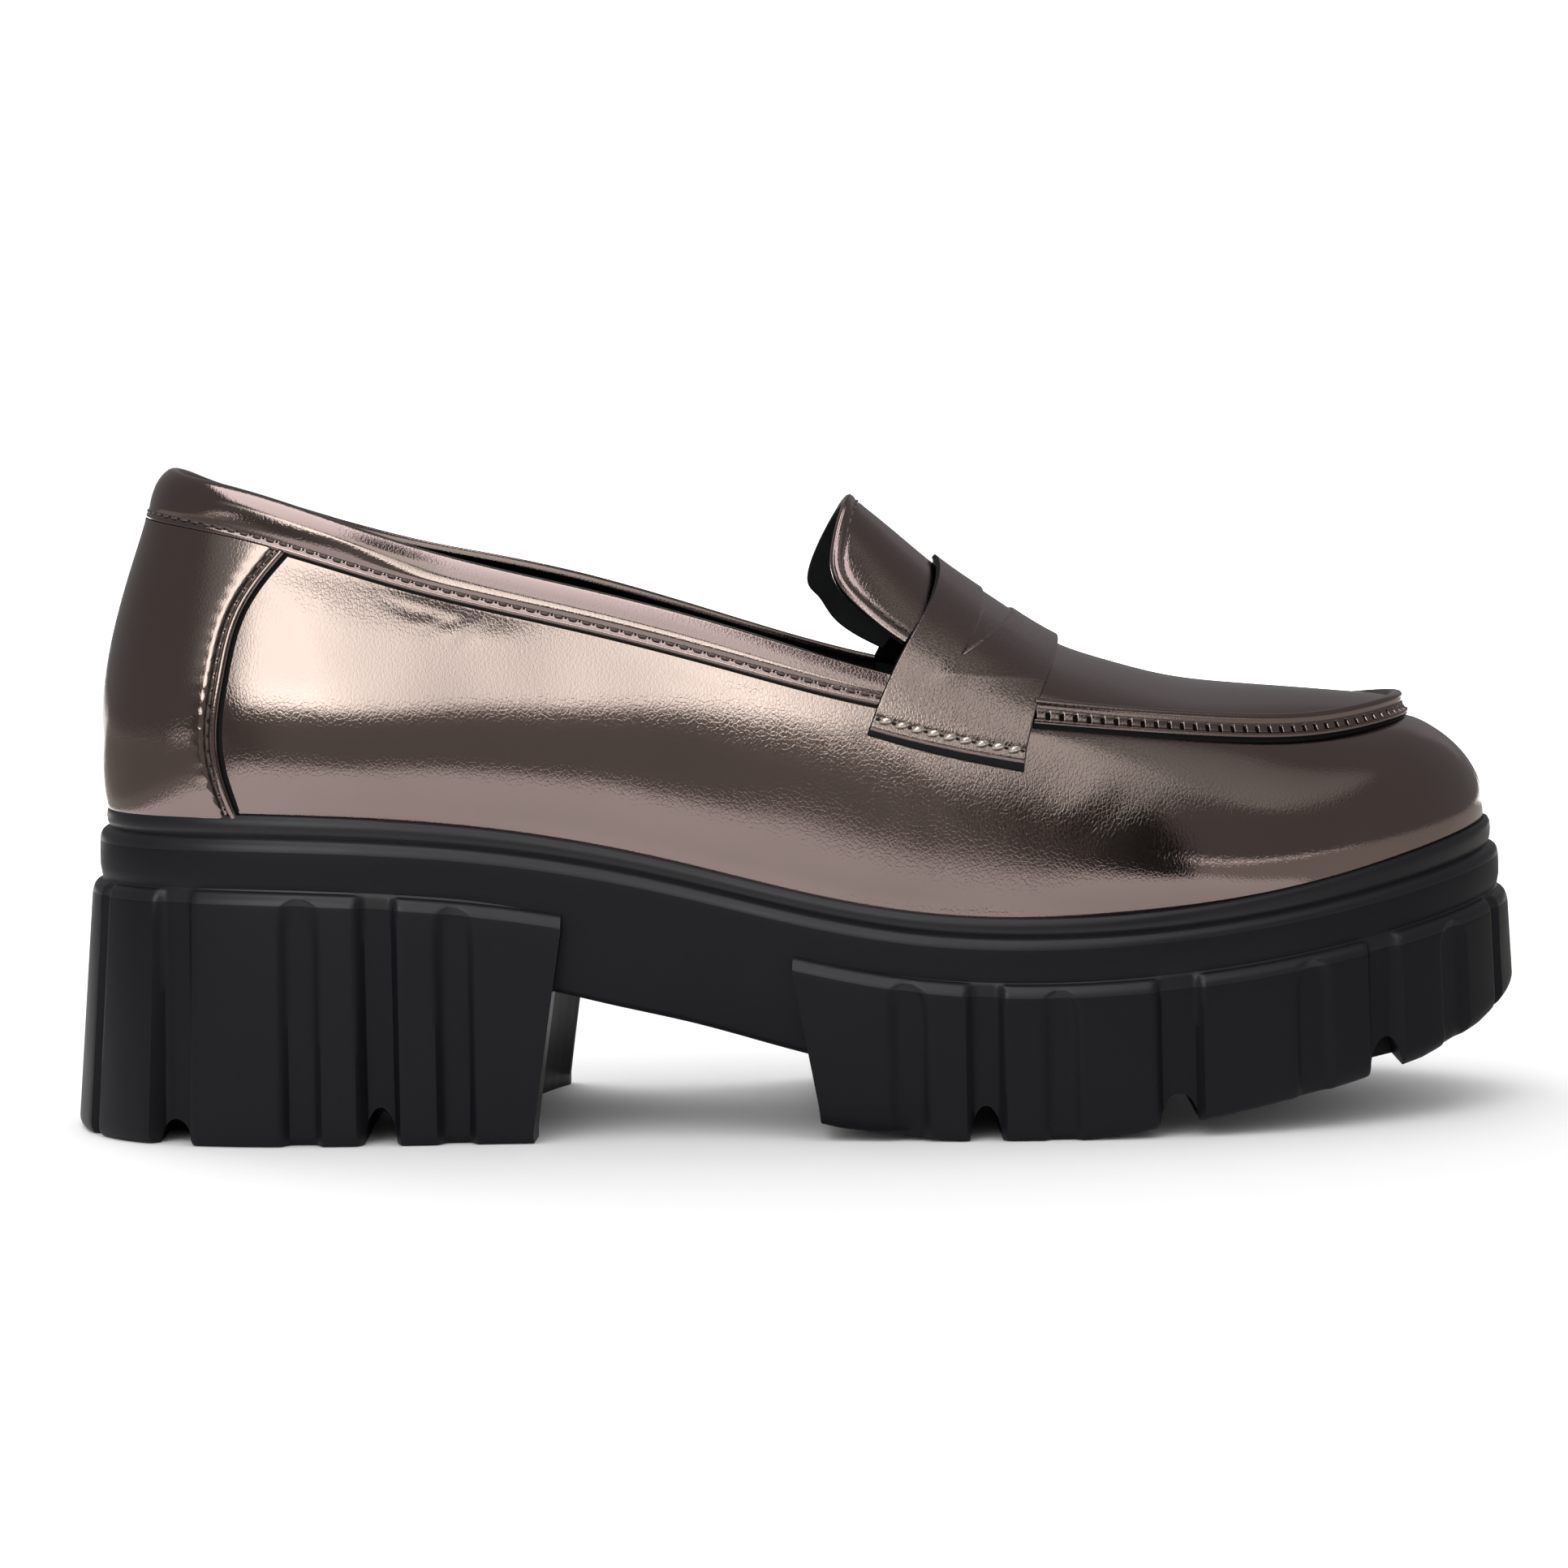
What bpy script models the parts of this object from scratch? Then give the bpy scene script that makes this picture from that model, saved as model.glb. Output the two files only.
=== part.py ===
"""Penny loafer for the right foot, on a black platform sole with a block heel.

Every point is worked out in shoe coordinates, in millimetres: s runs from the
heel back to the toe along the feather line, where the upper meets the sole,
y points to the inner (medial) side of the foot and z points up from the floor.
"""
import bmesh
import bpy
import numpy as np

MM = 0.001

# Driving dimensions, in millimetres
FEATHER_LENGTH = 260.0
TOE_TIP_SIDE = 4.0
UPPER_WALL = 1.6
OVERLAY_WALL = 1.0
STRAP_WALL = 1.0
TONGUE_WALL = 1.6
INSOLE_THICKNESS = 2.0
INSOLE_CLEARANCE = 0.5
SEAT_DEPTH = 2.2
FIT_GAP = 0.3
OVERLAY_GAP = 0.45

# Fineness of the model
OUTLINE_SAMPLES = 4001
OUTLINE_LAP = 4
RIB_SPACING = 12.0
WELD_DISTANCE = 0.01
SHARP_EDGE = np.radians(40.0)

# Outline of the feather line: half widths to the outer and inner side
OUTLINE = (
    ("s", "lateral", "medial"),
    (7.6, 18.6, 18.6),
    (28.0, 27.8, 27.6),
    (70.0, 30.2, 28.6),
    (110.0, 33.2, 28.6),
    (145.0, 39.4, 33.6),
    (176.0, 42.6, 40.4),
    (206.0, 41.0, 42.0),
    (234.0, 32.0, 36.0),
    (251.0, 18.4, 25.0),
)

# Height of the feather line over the floor, and how far the side steps are drawn together
WELT = (
    ("s", "height", "step_scale"),
    (0.0, 60.9, 1.0),
    (40.0, 60.0, 1.0),
    (72.0, 57.3, 0.98),
    (102.0, 51.9, 0.94),
    (132.0, 44.6, 0.9),
    (150.0, 41.4, 0.88),
    (172.0, 40.0, 0.86),
    (200.0, 41.2, 0.84),
    (230.0, 45.4, 0.84),
    (260.0, 51.5, 0.84),
)

# Wall of the upper: inset of its top line, and the bulge over the straight line to it
WALL = (
    ("s", "inset", "medial_inset", "bulge", "peak", "sharpness"),
    (0.0, 8.7, 8.7, 3.9, 0.42, 2.1),
    (30.0, 5.6, 5.6, 3.9, 0.43, 2.1),
    (58.0, 3.2, 3.0, 3.7, 0.46, 2.0),
    (88.0, 0.8, 0.7, 2.8, 0.5, 2.0),
    (117.0, -0.4, -0.3, 1.95, 0.5, 2.0),
    (147.0, 0.1, 0.5, 1.85, 0.52, 1.9),
    (176.0, 3.9, 4.2, 3.6, 0.57, 1.6),
    (190.0, 6.3, 6.6, 5.0, 0.52, 1.6),
    (204.0, 9.0, 9.3, 5.6, 0.48, 1.65),
    (230.0, 12.5, 12.6, 5.9, 0.50, 1.7),
    (250.0, 13.9, 13.9, 6.2, 0.58, 1.6),
    (260.0, 14.2, 14.2, 6.2, 0.60, 1.6),
)

# How near to heel back and toe tip the two sides blend into each other
SIDE_BLEND = 0.35

# Seam line at the top of the wall: under the collar band at the back, round the apron in front
SEAM = (
    ("s", "height"),
    (7.5, 114.9),
    (28.0, 110.8),
    (58.0, 101.7),
    (88.0, 94.2),
    (118.0, 86.2),
    (143.5, 79.4),
    (175.0, 74.7),
    (204.0, 71.5),
    (226.0, 70.4),
    (246.0, 72.6),
)

# Strip above the seam line: the collar at the back, the edge of the apron in front
STRIP = (
    ("s", "rise", "medial_rise", "inset"),
    (0.0, 9.6, 9.6, 3.2),
    (40.0, 8.8, 6.4, 2.4),
    (73.0, 7.7, 7.7, 1.7),
    (118.0, 7.3, 6.2, 1.6),
    (147.0, 6.0, 5.2, 2.4),
    (175.0, 4.4, 4.4, 3.0),
    (204.0, 4.1, 4.1, 3.0),
    (260.0, 3.8, 3.8, 3.0),
)
STRIP_LEAN = 0.9

# Top line of instep and apron, seen from the side
RIDGE = (
    ("s", "height"),
    (136.0, 120.5),
    (148.7, 110.0),
    (156.0, 103.7),
    (164.6, 97.4),
    (172.0, 92.3),
    (179.6, 87.8),
    (188.0, 84.7),
    (200.6, 81.2),
    (213.0, 79.5),
    (228.4, 78.0),
    (243.0, 76.4),
)

# Sections over the instep and apron, by the place of their lower edge
APRON = (
    ("s", "lead", "fullness"),
    (140.0, 12.2, 0.72),
    (149.4, 10.4, 0.72),
    (160.0, 7.8, 0.66),
    (172.5, 5.2, 0.5),
    (195.0, 2.0, 0.25),
    (215.0, 0.4, 0.1),
    (230.0, -2.0, 0.05),
    (243.0, -7.5, 0.0),
)

# Tongue sections behind the throat: radius of each side, and the angle its arc reaches there
TONGUE = (
    ("s", "lateral_radius", "medial_radius", "lateral_angle", "medial_angle"),
    (140.5, 18.0, 18.0, 6.0, 8.0),
    (141.2, 18.3, 18.4, 36.0, 50.0),
    (142.4, 19.0, 19.0, 52.0, 72.0),
    (144.2, 20.4, 20.0, 63.0, 84.0),
    (147.0, 23.0, 21.5, 66.0, 83.0),
    (151.0, 27.0, 23.5, 62.0, 82.0),
    (158.4, 34.0, 26.0, 54.0, 74.0),
)
TONGUE_PLACES = (140.5, 141.0, 141.8, 143.0, 144.6, 146.6, 149.0, 152.0, 155.2, 158.4)
TONGUE_COLUMNS = 15

# Side of the platform, from the seat out and down: distance out from the feather line, drop below it
PLATFORM_SIDE = (
    ("place", "out", "drop"),
    ("seat edge", 0.4, SEAT_DEPTH),
    ("lip inside", 0.4, 0.5),
    ("lip crown", 1.0, 0.0),
    ("bead side", 1.7, 1.3),
    ("bead foot", 1.6, 3.0),
    ("groove", 1.3, 3.5),
    ("shoulder", 2.6, 4.4),
    ("step", 3.2, 6.0),
    ("step foot", 3.3, 10.8),
    ("wall", 3.0, 12.8),
)

# Underside of the platform, seen from the side; it shows only at the arch
PLATFORM_UNDERSIDE = (
    ("s", "height", "out"),
    (0.0, 33.0, -3.0),
    (68.0, 30.4, -3.0),
    (80.0, 28.2, 3.0),
    (95.0, 24.6, 3.0),
    (110.0, 21.2, 3.0),
    (136.0, 14.4, 3.0),
    (147.0, 12.6, -3.0),
    (180.0, 12.0, -3.0),
    (210.0, 15.5, -3.0),
    (240.0, 21.0, -3.0),
    (260.0, 27.0, -3.0),
)
UNDERSIDE_ROUNDING = 1.2

# Tread under the forefoot: level under the ball, sprung up at the toe
TREAD = (
    ("s", "height"),
    (128.0, 4.2),
    (136.0, 2.4),
    (146.0, 1.2),
    (157.0, 0.0),
    (180.0, 0.0),
    (190.0, 1.2),
    (203.0, 3.2),
    (226.0, 7.4),
    (244.0, 11.5),
    (256.0, 16.0),
    (265.0, 21.0),
)

# Blocks of ribs round the side, along the outer feather line from the heel back
RIB_BLOCKS = (
    ("name", "start", "end", "groove_start", "groove_end"),
    ("heel back", -13.4, 13.4, 0.0, 0.0),
    ("heel corner", 14.8, 27.3, 0.0, 0.0),
    ("heel side", 33.4, 64.0, 50.2, 56.2),
    ("heel front", 70.3, 108.0, 78.3, 84.3),
    ("waist", 138.0, 176.7, 162.8, 168.7),
    ("ball", 182.3, 210.1, 190.3, 195.7),
    ("little toe", 217.5, 249.4, 235.3, 241.0),
    ("toe side", 255.3, 281.8, 265.7, 271.1),
    ("toe", 283.6, 310.0, 0.0, 0.0),
)
RIB_FLANK = 1.4
GROOVE_LEVEL = 0.45
BREAST_TOP = 101.2
BREAST_SLANT = 5.6
BREAST_SKEW = 4.0
BREAST_HOLLOW = 7.0
BREAST_RIM = 5.0
BREAST_SIDES = 48
BREAST_REACH = 120.0
WAIST_EDGE_TOP = 144.6
WAIST_EDGE_SLANT = 4.8
HEEL_RIB_DROP = 13.6
FORE_RIB_DROP = 11.6

# Side of a rib block: drop below its top line at share 0, lift over the floor at share 1
HEEL_BLOCK_SIDE = (
    ("share", "drop", "lift", "recess_out", "rib_out"),
    (0.0, -2.0, 0.0, 2.2, 2.2),
    (0.0, 0.6, 0.0, 3.1, 4.1),
    (0.0, 2.8, 0.0, 3.3, 5.0),
    (0.5, 1.4, 0.9, 4.0, 6.8),
    (1.0, 0.0, 1.8, 4.9, 8.7),
    (1.0, 0.0, 0.0, 3.5, 7.2),
)
FORE_BLOCK_SIDE = (
    ("share", "drop", "lift", "recess_out", "rib_out"),
    (0.0, -2.0, 0.0, 2.2, 2.2),
    (0.0, 0.6, 0.0, 3.1, 4.2),
    (0.0, 2.6, 0.0, 3.3, 5.1),
    (0.5, 1.3, 0.9, 3.5, 5.7),
    (1.0, 0.0, 1.8, 3.6, 5.7),
    (1.0, 0.0, 0.0, 2.4, 4.2),
)

# Grooves across the tread, where the recesses between the blocks reach the floor
TREAD_GROOVES = (
    ("s", "half_width", "height", "solid_middle"),
    (13.0, 3.2, 4.4, 14.0),
    (51.5, 3.1, 6.8, 0.0),
    (162.6, 3.0, 6.4, 0.0),
    (197.9, 3.7, 5.6, 0.0),
    (236.9, 3.2, 6.2, 18.0),
)
GROOVE_SIDES = 20
GROOVE_SUNK = 1.0
GROOVE_REACH = 140.0

# Places along each half of the feather line, as a share of its length from heel to toe
STATIONS = (0.0, 0.022, 0.044, 0.066, 0.09, 0.116, 0.146, 0.18, 0.215, 0.25, 0.285, 0.32, 0.355, 0.39,
            0.425, 0.46, 0.495, 0.527, 0.556, 0.582, 0.608, 0.634, 0.66, 0.686, 0.712, 0.738, 0.764,
            0.79, 0.816, 0.842, 0.866, 0.888, 0.91, 0.932, 0.955, 0.978, 1.0)
THROAT = 0.556

# Rows up the girth of the upper: below 0 it sits in the sole, 1 is the seam line, 3 the ridge
WALL_ROWS = (-1.0, 0.0, 0.06, 0.16, 0.3, 0.45, 0.6, 0.74, 0.87, 1.0, 1.5, 2.0)
ARCH_ROWS = (2.0, 2.05, 2.14, 2.28, 2.45, 2.64, 2.83, 3.0)
COUNTER_ROWS = (0.05, 0.16, 0.3, 0.45, 0.6, 0.74, 0.87, 0.975)
COUNTER_COLUMNS = 19
BAND_ROWS = (1.03, 1.5, 1.97)

# Saddle strap: its back and front edge from the side of the wall up to the ridge
STRAP = (
    ("girth", "back", "front"),
    (0.8, 0.530, 0.627),
    (1.0, 0.538, 0.631),
    (2.0, 0.545, 0.637),
    (3.0, 0.537, 0.638),
)
STRAP_LOW_BACK = 0.87
STRAP_LOW_FRONT = 0.80
STRAP_LIFT = 1.1
STRAP_CLEARANCE = 0.004
SLOT_BACK = 0.37
SLOT_FRONT = 0.64
SLOT_REACH = 0.9
STRAP_COLUMNS = (0.0, 0.12, 0.24, SLOT_BACK, 0.5, SLOT_FRONT, 0.76, 0.88, 1.0)
STRAP_ROWS = (1.0, 1.35, 1.7, 2.0, 2.06, 3.0 - SLOT_REACH, 2.3, 2.45, 2.6, 2.75, 2.88, 3.0)

# Height of the strap over the upper: it bridges the step of the strip
STRAP_BRIDGE = (
    ("girth", "rise"),
    (0.95, 0.0),
    (1.35, 1.0),
    (1.7, 1.0),
    (2.2, 0.0),
)

# Front edge of the heel counter, along the feather line from the heel back
COUNTER_EDGE = (
    ("share", "along"),
    (0.0, 40.3),
    (0.25, 37.4),
    (0.5, 38.6),
    (0.75, 41.6),
    (1.0, 49.5),
)

# Section of the raised seam round the apron: place across the strip, height over it
APRON_SEAM = (
    ("share", "height"),
    (0.02, 0.45),
    (0.0, 1.3),
    (0.22, 1.9),
    (0.55, 2.2),
    (0.85, 1.9),
    (0.98, 1.2),
    (0.96, 0.45),
)


def spline(knots, values):
    """Natural cubic spline through the points of a table, held level past its ends."""
    x = np.asarray(knots, float)
    y = np.asarray(values, float)
    count = len(x)
    step = np.diff(x)
    matrix = np.eye(count)
    right = np.zeros_like(y)
    for i in range(1, count - 1):
        matrix[i, i - 1:i + 2] = step[i - 1], 2.0 * (step[i - 1] + step[i]), step[i]
        right[i] = 6.0 * ((y[i + 1] - y[i]) / step[i] - (y[i] - y[i - 1]) / step[i - 1])
    second = np.linalg.solve(matrix, right)

    def value(at):
        at = np.clip(np.asarray(at, float), x[0], x[-1])
        i = np.clip(np.searchsorted(x, at) - 1, 0, count - 2)
        h = step[i]
        back = (x[i + 1] - at) / h
        fore = (at - x[i]) / h
        bend = h * h / 6.0
        if y.ndim == 2:
            back, fore, bend = back[..., None], fore[..., None], bend[..., None]
        return (back * y[i] + fore * y[i + 1]
                + bend * ((back ** 3 - back) * second[i] + (fore ** 3 - fore) * second[i + 1]))

    return value


def curve(table, name, straight=False):
    """Function of a table's first column that gives the named column."""
    head = table[0]
    column = head.index(name)
    knots = [row[0] for row in table[1:]]
    values = [row[column] for row in table[1:]]
    if straight:
        return lambda at: np.interp(at, knots, values)
    return spline(knots, values)


def closed_outline():
    """Feather line as a dense closed curve, with t from 0 (heel) by 1 (toe) to 2 (heel)."""
    rows = OUTLINE[1:]
    lateral = [(s, -width) for s, width, _ in rows]
    medial = [(s, width) for s, _, width in reversed(rows)]
    corners = [(0.0, 0.0)] + lateral + [(FEATHER_LENGTH, TOE_TIP_SIDE)] + medial
    lap = OUTLINE_LAP
    points = np.array(corners[-lap:] + corners + corners[:lap + 1])
    chord = np.concatenate(([0.0], np.cumsum(np.hypot(*np.diff(points, axis=0).T))))
    line = spline(chord, points)
    dense = line(np.linspace(chord[lap], chord[lap + len(corners)], OUTLINE_SAMPLES))
    along = np.concatenate(([0.0], np.cumsum(np.hypot(*np.diff(dense, axis=0).T))))
    tangent = np.gradient(dense, axis=0)
    tangent[0] = tangent[-1] = tangent[0] + tangent[-1]
    tangent /= np.hypot(*tangent.T)[:, None]
    normal = np.column_stack((tangent[:, 1], -tangent[:, 0]))
    toe = int(np.argmax(dense[:, 0]))
    share = np.where(along <= along[toe], along / along[toe],
                     1.0 + (along - along[toe]) / (along[-1] - along[toe]))
    return share, dense, normal, along[toe]


SHARE, LINE, NORMAL, HALF_LENGTH = closed_outline()

welt_height = curve(WELT, "height")
step_scale = curve(WELT, "step_scale")
wall_inset = curve(WALL, "inset")
wall_medial_inset = curve(WALL, "medial_inset")
wall_bulge = curve(WALL, "bulge")
wall_peak = curve(WALL, "peak")
wall_sharpness = curve(WALL, "sharpness")
seam_height = curve(SEAM, "height")
strip_rise = curve(STRIP, "rise")
strip_medial_rise = curve(STRIP, "medial_rise")
strip_inset = curve(STRIP, "inset")
ridge_height = curve(RIDGE, "height")
ridge_lead = curve(APRON, "lead")
apron_fullness = curve(APRON, "fullness")
strap_back = curve(STRAP, "back", straight=True)
strap_front = curve(STRAP, "front", straight=True)
strap_bridge = curve(STRAP_BRIDGE, "rise", straight=True)


def feather(t):
    """Plan point and outward direction on the feather line."""
    t = np.mod(t, 2.0)
    point = np.stack([np.interp(t, SHARE, LINE[:, k]) for k in (0, 1)], axis=-1)
    out = np.stack([np.interp(t, SHARE, NORMAL[:, k]) for k in (0, 1)], axis=-1)
    return point, out


def solid_point(plan, height):
    """Plan point with its height."""
    return np.concatenate((plan, np.asarray(height)[..., None]), axis=-1)


def bulge_profile(share, peak, sharpness):
    """Swelling of the wall: 0 at both ends, 1 at the peak."""
    share = np.clip(share, 0.0, 1.0)
    low = (share / peak) ** (peak * sharpness)
    high = ((1.0 - share) / (1.0 - peak)) ** ((1.0 - peak) * sharpness)
    return low * high


def inner_share(t):
    """Share of the inner side: 0 along the outer side, 1 along the inner, blended through heel and toe."""
    return 0.5 - 0.5 * np.clip(np.sin(np.pi * np.mod(t, 2.0)) / SIDE_BLEND, -1.0, 1.0)


def seam_inset(t, s):
    """Inset of the seam line."""
    side = inner_share(t)
    return wall_inset(s) * (1.0 - side) + wall_medial_inset(s) * side


def wall_point(t, share):
    """Outer face of the wall, from the feather line (share 0) to the seam line (share 1)."""
    plan, out = feather(t)
    s = plan[..., 0]
    inset = seam_inset(t, s)
    top = plan - out * inset[..., None]
    swell = wall_bulge(s) * bulge_profile(share, wall_peak(s), wall_sharpness(s))
    low = welt_height(s)
    high = seam_height(top[..., 0])
    where = plan + out * (swell - inset * np.clip(share, 0.0, 1.0))[..., None]
    sunk = np.minimum(share, 0.0) * (SEAT_DEPTH * step_scale(s) - FIT_GAP)
    return solid_point(where, low + (high - low) * np.clip(share, 0.0, 1.0) + sunk)


def strip_point(t, share):
    """Strip from the seam line (share 0) to the collar's edge or the apron's edge (share 1)."""
    plan, out = feather(t)
    s = plan[..., 0]
    seam = wall_point(t, np.ones_like(s))
    lean = strip_inset(s) * (STRIP_LEAN * share + (1.0 - STRIP_LEAN) * share ** 2)
    side = inner_share(t)
    rise = (strip_rise(s) * (1.0 - side) + strip_medial_rise(s) * side) * share
    return solid_point(seam[..., :2] - out * lean[..., None], seam[..., 2] + rise)


def ridge_point(t):
    """Point of the ridge line that belongs to a pair of edge points, and the edge point."""
    edge = strip_point(t, np.ones_like(t))
    mate = strip_point(2.0 - t, np.ones_like(t))
    middle = 0.5 * (edge + mate)
    s = middle[..., 0] + ridge_lead(middle[..., 0])
    return np.stack((s, middle[..., 1], ridge_height(s)), axis=-1), edge


def ridge_frame(s):
    """Direction along the ridge and the direction square to it, both in the side view."""
    slope = ridge_height(s + 0.5) - ridge_height(s - 0.5)
    along = np.stack((np.ones_like(s), np.zeros_like(s), slope), axis=-1)
    along /= np.linalg.norm(along, axis=-1)[..., None]
    square = np.stack((-along[..., 2], np.zeros_like(s), along[..., 0]), axis=-1)
    return along, square


def apron_point(t, share):
    """Arch from the strip's upper edge (share 0) to the ridge (share 1)."""
    ridge, edge = ridge_point(t)
    along, square = ridge_frame(ridge[..., 0])
    reach = edge - ridge
    depth = np.sum(reach * square, axis=-1)
    drift = np.sum(reach * along, axis=-1)
    across = reach[..., 1]
    r = 1.0 - share
    full = apron_fullness(edge[..., 0])
    fall = (1.0 - full) * r ** 2 + full * (1.0 - np.sqrt(np.clip(1.0 - r ** 2, 0.0, 1.0)))
    sideways = np.zeros_like(ridge)
    sideways[..., 1] = across * r
    return ridge + square * (depth * fall)[..., None] + along * (drift * r)[..., None] + sideways


def upper_point(t, girth):
    """Outer face of the upper: girth -1 to 1 is the wall, 1 to 2 the strip, 2 to 3 the apron."""
    t, girth = np.broadcast_arrays(np.asarray(t, float), np.asarray(girth, float))
    wall = wall_point(t, np.clip(girth, -1.0, 1.0))
    strip = strip_point(t, np.clip(girth - 1.0, 0.0, 1.0))
    apron = apron_point(t, np.clip(girth - 2.0, 0.0, 1.0))
    zone = girth[..., None]
    return np.where(zone <= 1.0, wall, np.where(zone <= 2.0, strip, apron))


def lifted_point(t, girth, height):
    """Point over the outer face of the upper, at a height square to it."""
    t, girth = np.broadcast_arrays(np.asarray(t, float), np.asarray(girth, float))
    step_t = 0.002
    step_g = 0.04
    low = np.clip(girth - step_g, 0.0, 3.0 - step_g)
    high = np.clip(girth + step_g, step_g, 3.0)
    along = upper_point(t + step_t, girth) - upper_point(t - step_t, girth)
    up = upper_point(t, high) - upper_point(t, low)
    normal = np.cross(along, up)
    normal /= np.linalg.norm(normal, axis=-1)[..., None]
    return upper_point(t, girth) + normal * np.asarray(height)[..., None]


def rib_level(along):
    """Relief of the side at a place along the feather line: 1 on a rib, 0 in a recess."""
    along = np.asarray(along, float)
    level = np.zeros_like(along)
    for _, start, end, groove_start, groove_end in RIB_BLOCKS[1:]:
        rise = np.clip((along - start) / RIB_FLANK + 0.5, 0.0, 1.0)
        fall = np.clip((end - along) / RIB_FLANK + 0.5, 0.0, 1.0)
        block = np.minimum(rise, fall)
        if groove_end > groove_start:
            enter = np.clip((along - groove_start) / RIB_FLANK + 0.5, 0.0, 1.0)
            leave = np.clip((groove_end - along) / RIB_FLANK + 0.5, 0.0, 1.0)
            block = block * (1.0 - (1.0 - GROOVE_LEVEL) * np.minimum(enter, leave))
        level = np.maximum(level, block)
    return level


def rib_stations(first, last):
    """Places between two limits where the relief of the side starts or stops changing."""
    edges = [first, last]
    for _, start, end, groove_start, groove_end in RIB_BLOCKS[1:]:
        breaks = (start, end, groove_start, groove_end) if groove_end > groove_start else (start, end)
        for edge in breaks:
            edges += [edge - RIB_FLANK / 2.0, edge + RIB_FLANK / 2.0]
    inside = sorted({round(edge, 3) for edge in edges if first <= edge <= last})
    spread = [inside[0]]
    for edge in inside[1:]:
        parts = max(1, int((edge - spread[-1]) / RIB_SPACING + 0.999))
        start = spread[-1]
        spread += [start + (edge - start) * k / parts for k in range(1, parts + 1)]
    return np.array(spread)


def mesh_object(name, bm, material, collection):
    """Object from a bmesh whose points are in millimetres."""
    bmesh.ops.scale(bm, vec=(MM, MM, MM), verts=bm.verts)
    mesh = bpy.data.meshes.new(name)
    bm.to_mesh(mesh)
    bm.free()
    mesh.shade_smooth()
    mesh.set_sharp_from_angle(angle=SHARP_EDGE)
    if material:
        mesh.materials.append(material)
    thing = bpy.data.objects.new(name, mesh)
    collection.objects.link(thing)
    return thing


def add_grid(bm, points, skip=None):
    """Sheet of quads over an array of points, rows by columns; its face looks along column x row."""
    rows, columns = points.shape[:2]
    verts = [[bm.verts.new(points[r, c]) for c in range(columns)] for r in range(rows)]
    for r in range(rows - 1):
        for c in range(columns - 1):
            if skip and skip(r, c):
                continue
            bm.faces.new((verts[r][c], verts[r][c + 1], verts[r + 1][c + 1], verts[r + 1][c]))
    bmesh.ops.delete(bm, geom=[v for v in bm.verts if not v.link_faces], context="VERTS")


def weld(bm):
    """Join the points that sheets share."""
    bmesh.ops.remove_doubles(bm, verts=bm.verts, dist=WELD_DISTANCE)


def add_loft(bm, rings):
    """Closed solid through rings of equal count, its two ends closed by rungs."""
    loops = [[bm.verts.new(point) for point in ring] for ring in rings]
    count = len(loops[0])
    for one, two in zip(loops, loops[1:]):
        for i in range(count):
            k = (i + 1) % count
            bm.faces.new((one[i], two[i], two[k], one[k]))
    add_rungs(bm, loops[0])
    add_rungs(bm, loops[-1])
    bmesh.ops.recalc_face_normals(bm, faces=bm.faces)


def add_rungs(bm, loop):
    """Close a ring that runs up its outer side and back down its inner side."""
    count = len(loop)
    tip = count // 2
    for i in range(tip):
        corners = []
        for index in (i, i + 1, 2 * tip - 1 - i, 2 * tip - i):
            vert = loop[index % count]
            if vert not in corners:
                corners.append(vert)
        bm.faces.new(corners)


def solidify(thing, thickness, outward):
    """Give a sheet its wall, to the outside or the inside."""
    wall = thing.modifiers.new("wall", "SOLIDIFY")
    wall.thickness = thickness * MM
    wall.offset = 1.0 if outward else -1.0
    wall.use_even_offset = True


def ring_places():
    """Places t round the whole feather line, in facing pairs from the heel."""
    half = np.array(STATIONS)
    return np.concatenate((half, 2.0 - half[-2:0:-1]))


def platform_ring(t, out, height_of):
    """Ring of the platform at a distance out from the feather line."""
    plan, normal = feather(t)
    return solid_point(plan + normal * np.reshape(out, (-1, 1)), height_of(plan[..., 0]))


def build_platform():
    """Platform with its seat, bead, groove and step."""
    t = ring_places()
    underside = curve(PLATFORM_UNDERSIDE, "height")
    underside_out = curve(PLATFORM_UNDERSIDE, "out", straight=True)
    rings = []
    for _, out, drop in PLATFORM_SIDE[1:]:
        rings.append(platform_ring(t, out, lambda s, d=drop: welt_height(s) - d * step_scale(s)))
    s = feather(t)[0][..., 0]
    below = underside_out(s)
    rings.append(platform_ring(t, below, lambda s: underside(s) + UNDERSIDE_ROUNDING))
    rings.append(platform_ring(t, below - UNDERSIDE_ROUNDING, underside))
    bm = bmesh.new()
    add_loft(bm, rings)
    return bm


def block_ring(along, row, top_drop, floor, slant, skew):
    """One level of a rib block, from its open end on the outer side round to the inner side."""
    share, drop, lift, recess_out, rib_out = row
    out = recess_out + (rib_out - recess_out) * rib_level(along)
    sides = []
    for inner in (False, True):
        places = along.copy()
        places[0] += slant * share + (skew if inner else 0.0)
        t = places / HALF_LENGTH
        plan, normal = feather(2.0 - t if inner else t)
        where = plan + normal * out[..., None]
        high = welt_height(plan[..., 0]) - top_drop - drop
        low = floor(where[..., 0]) + lift
        sides.append(solid_point(where, high * (1.0 - share) + low * share))
    return np.concatenate((sides[0], sides[1][-2::-1]))


def block_rings(along, rows, top_drop, floor, slant, skew):
    """Levels of a rib block, from its top inside the platform down to its tread."""
    return [block_ring(along, row, top_drop, floor, slant, skew) for row in rows[1:]]


def build_block(rings):
    """Heel or fore block with its ribbed side."""
    bm = bmesh.new()
    add_loft(bm, rings)
    return bm


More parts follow.
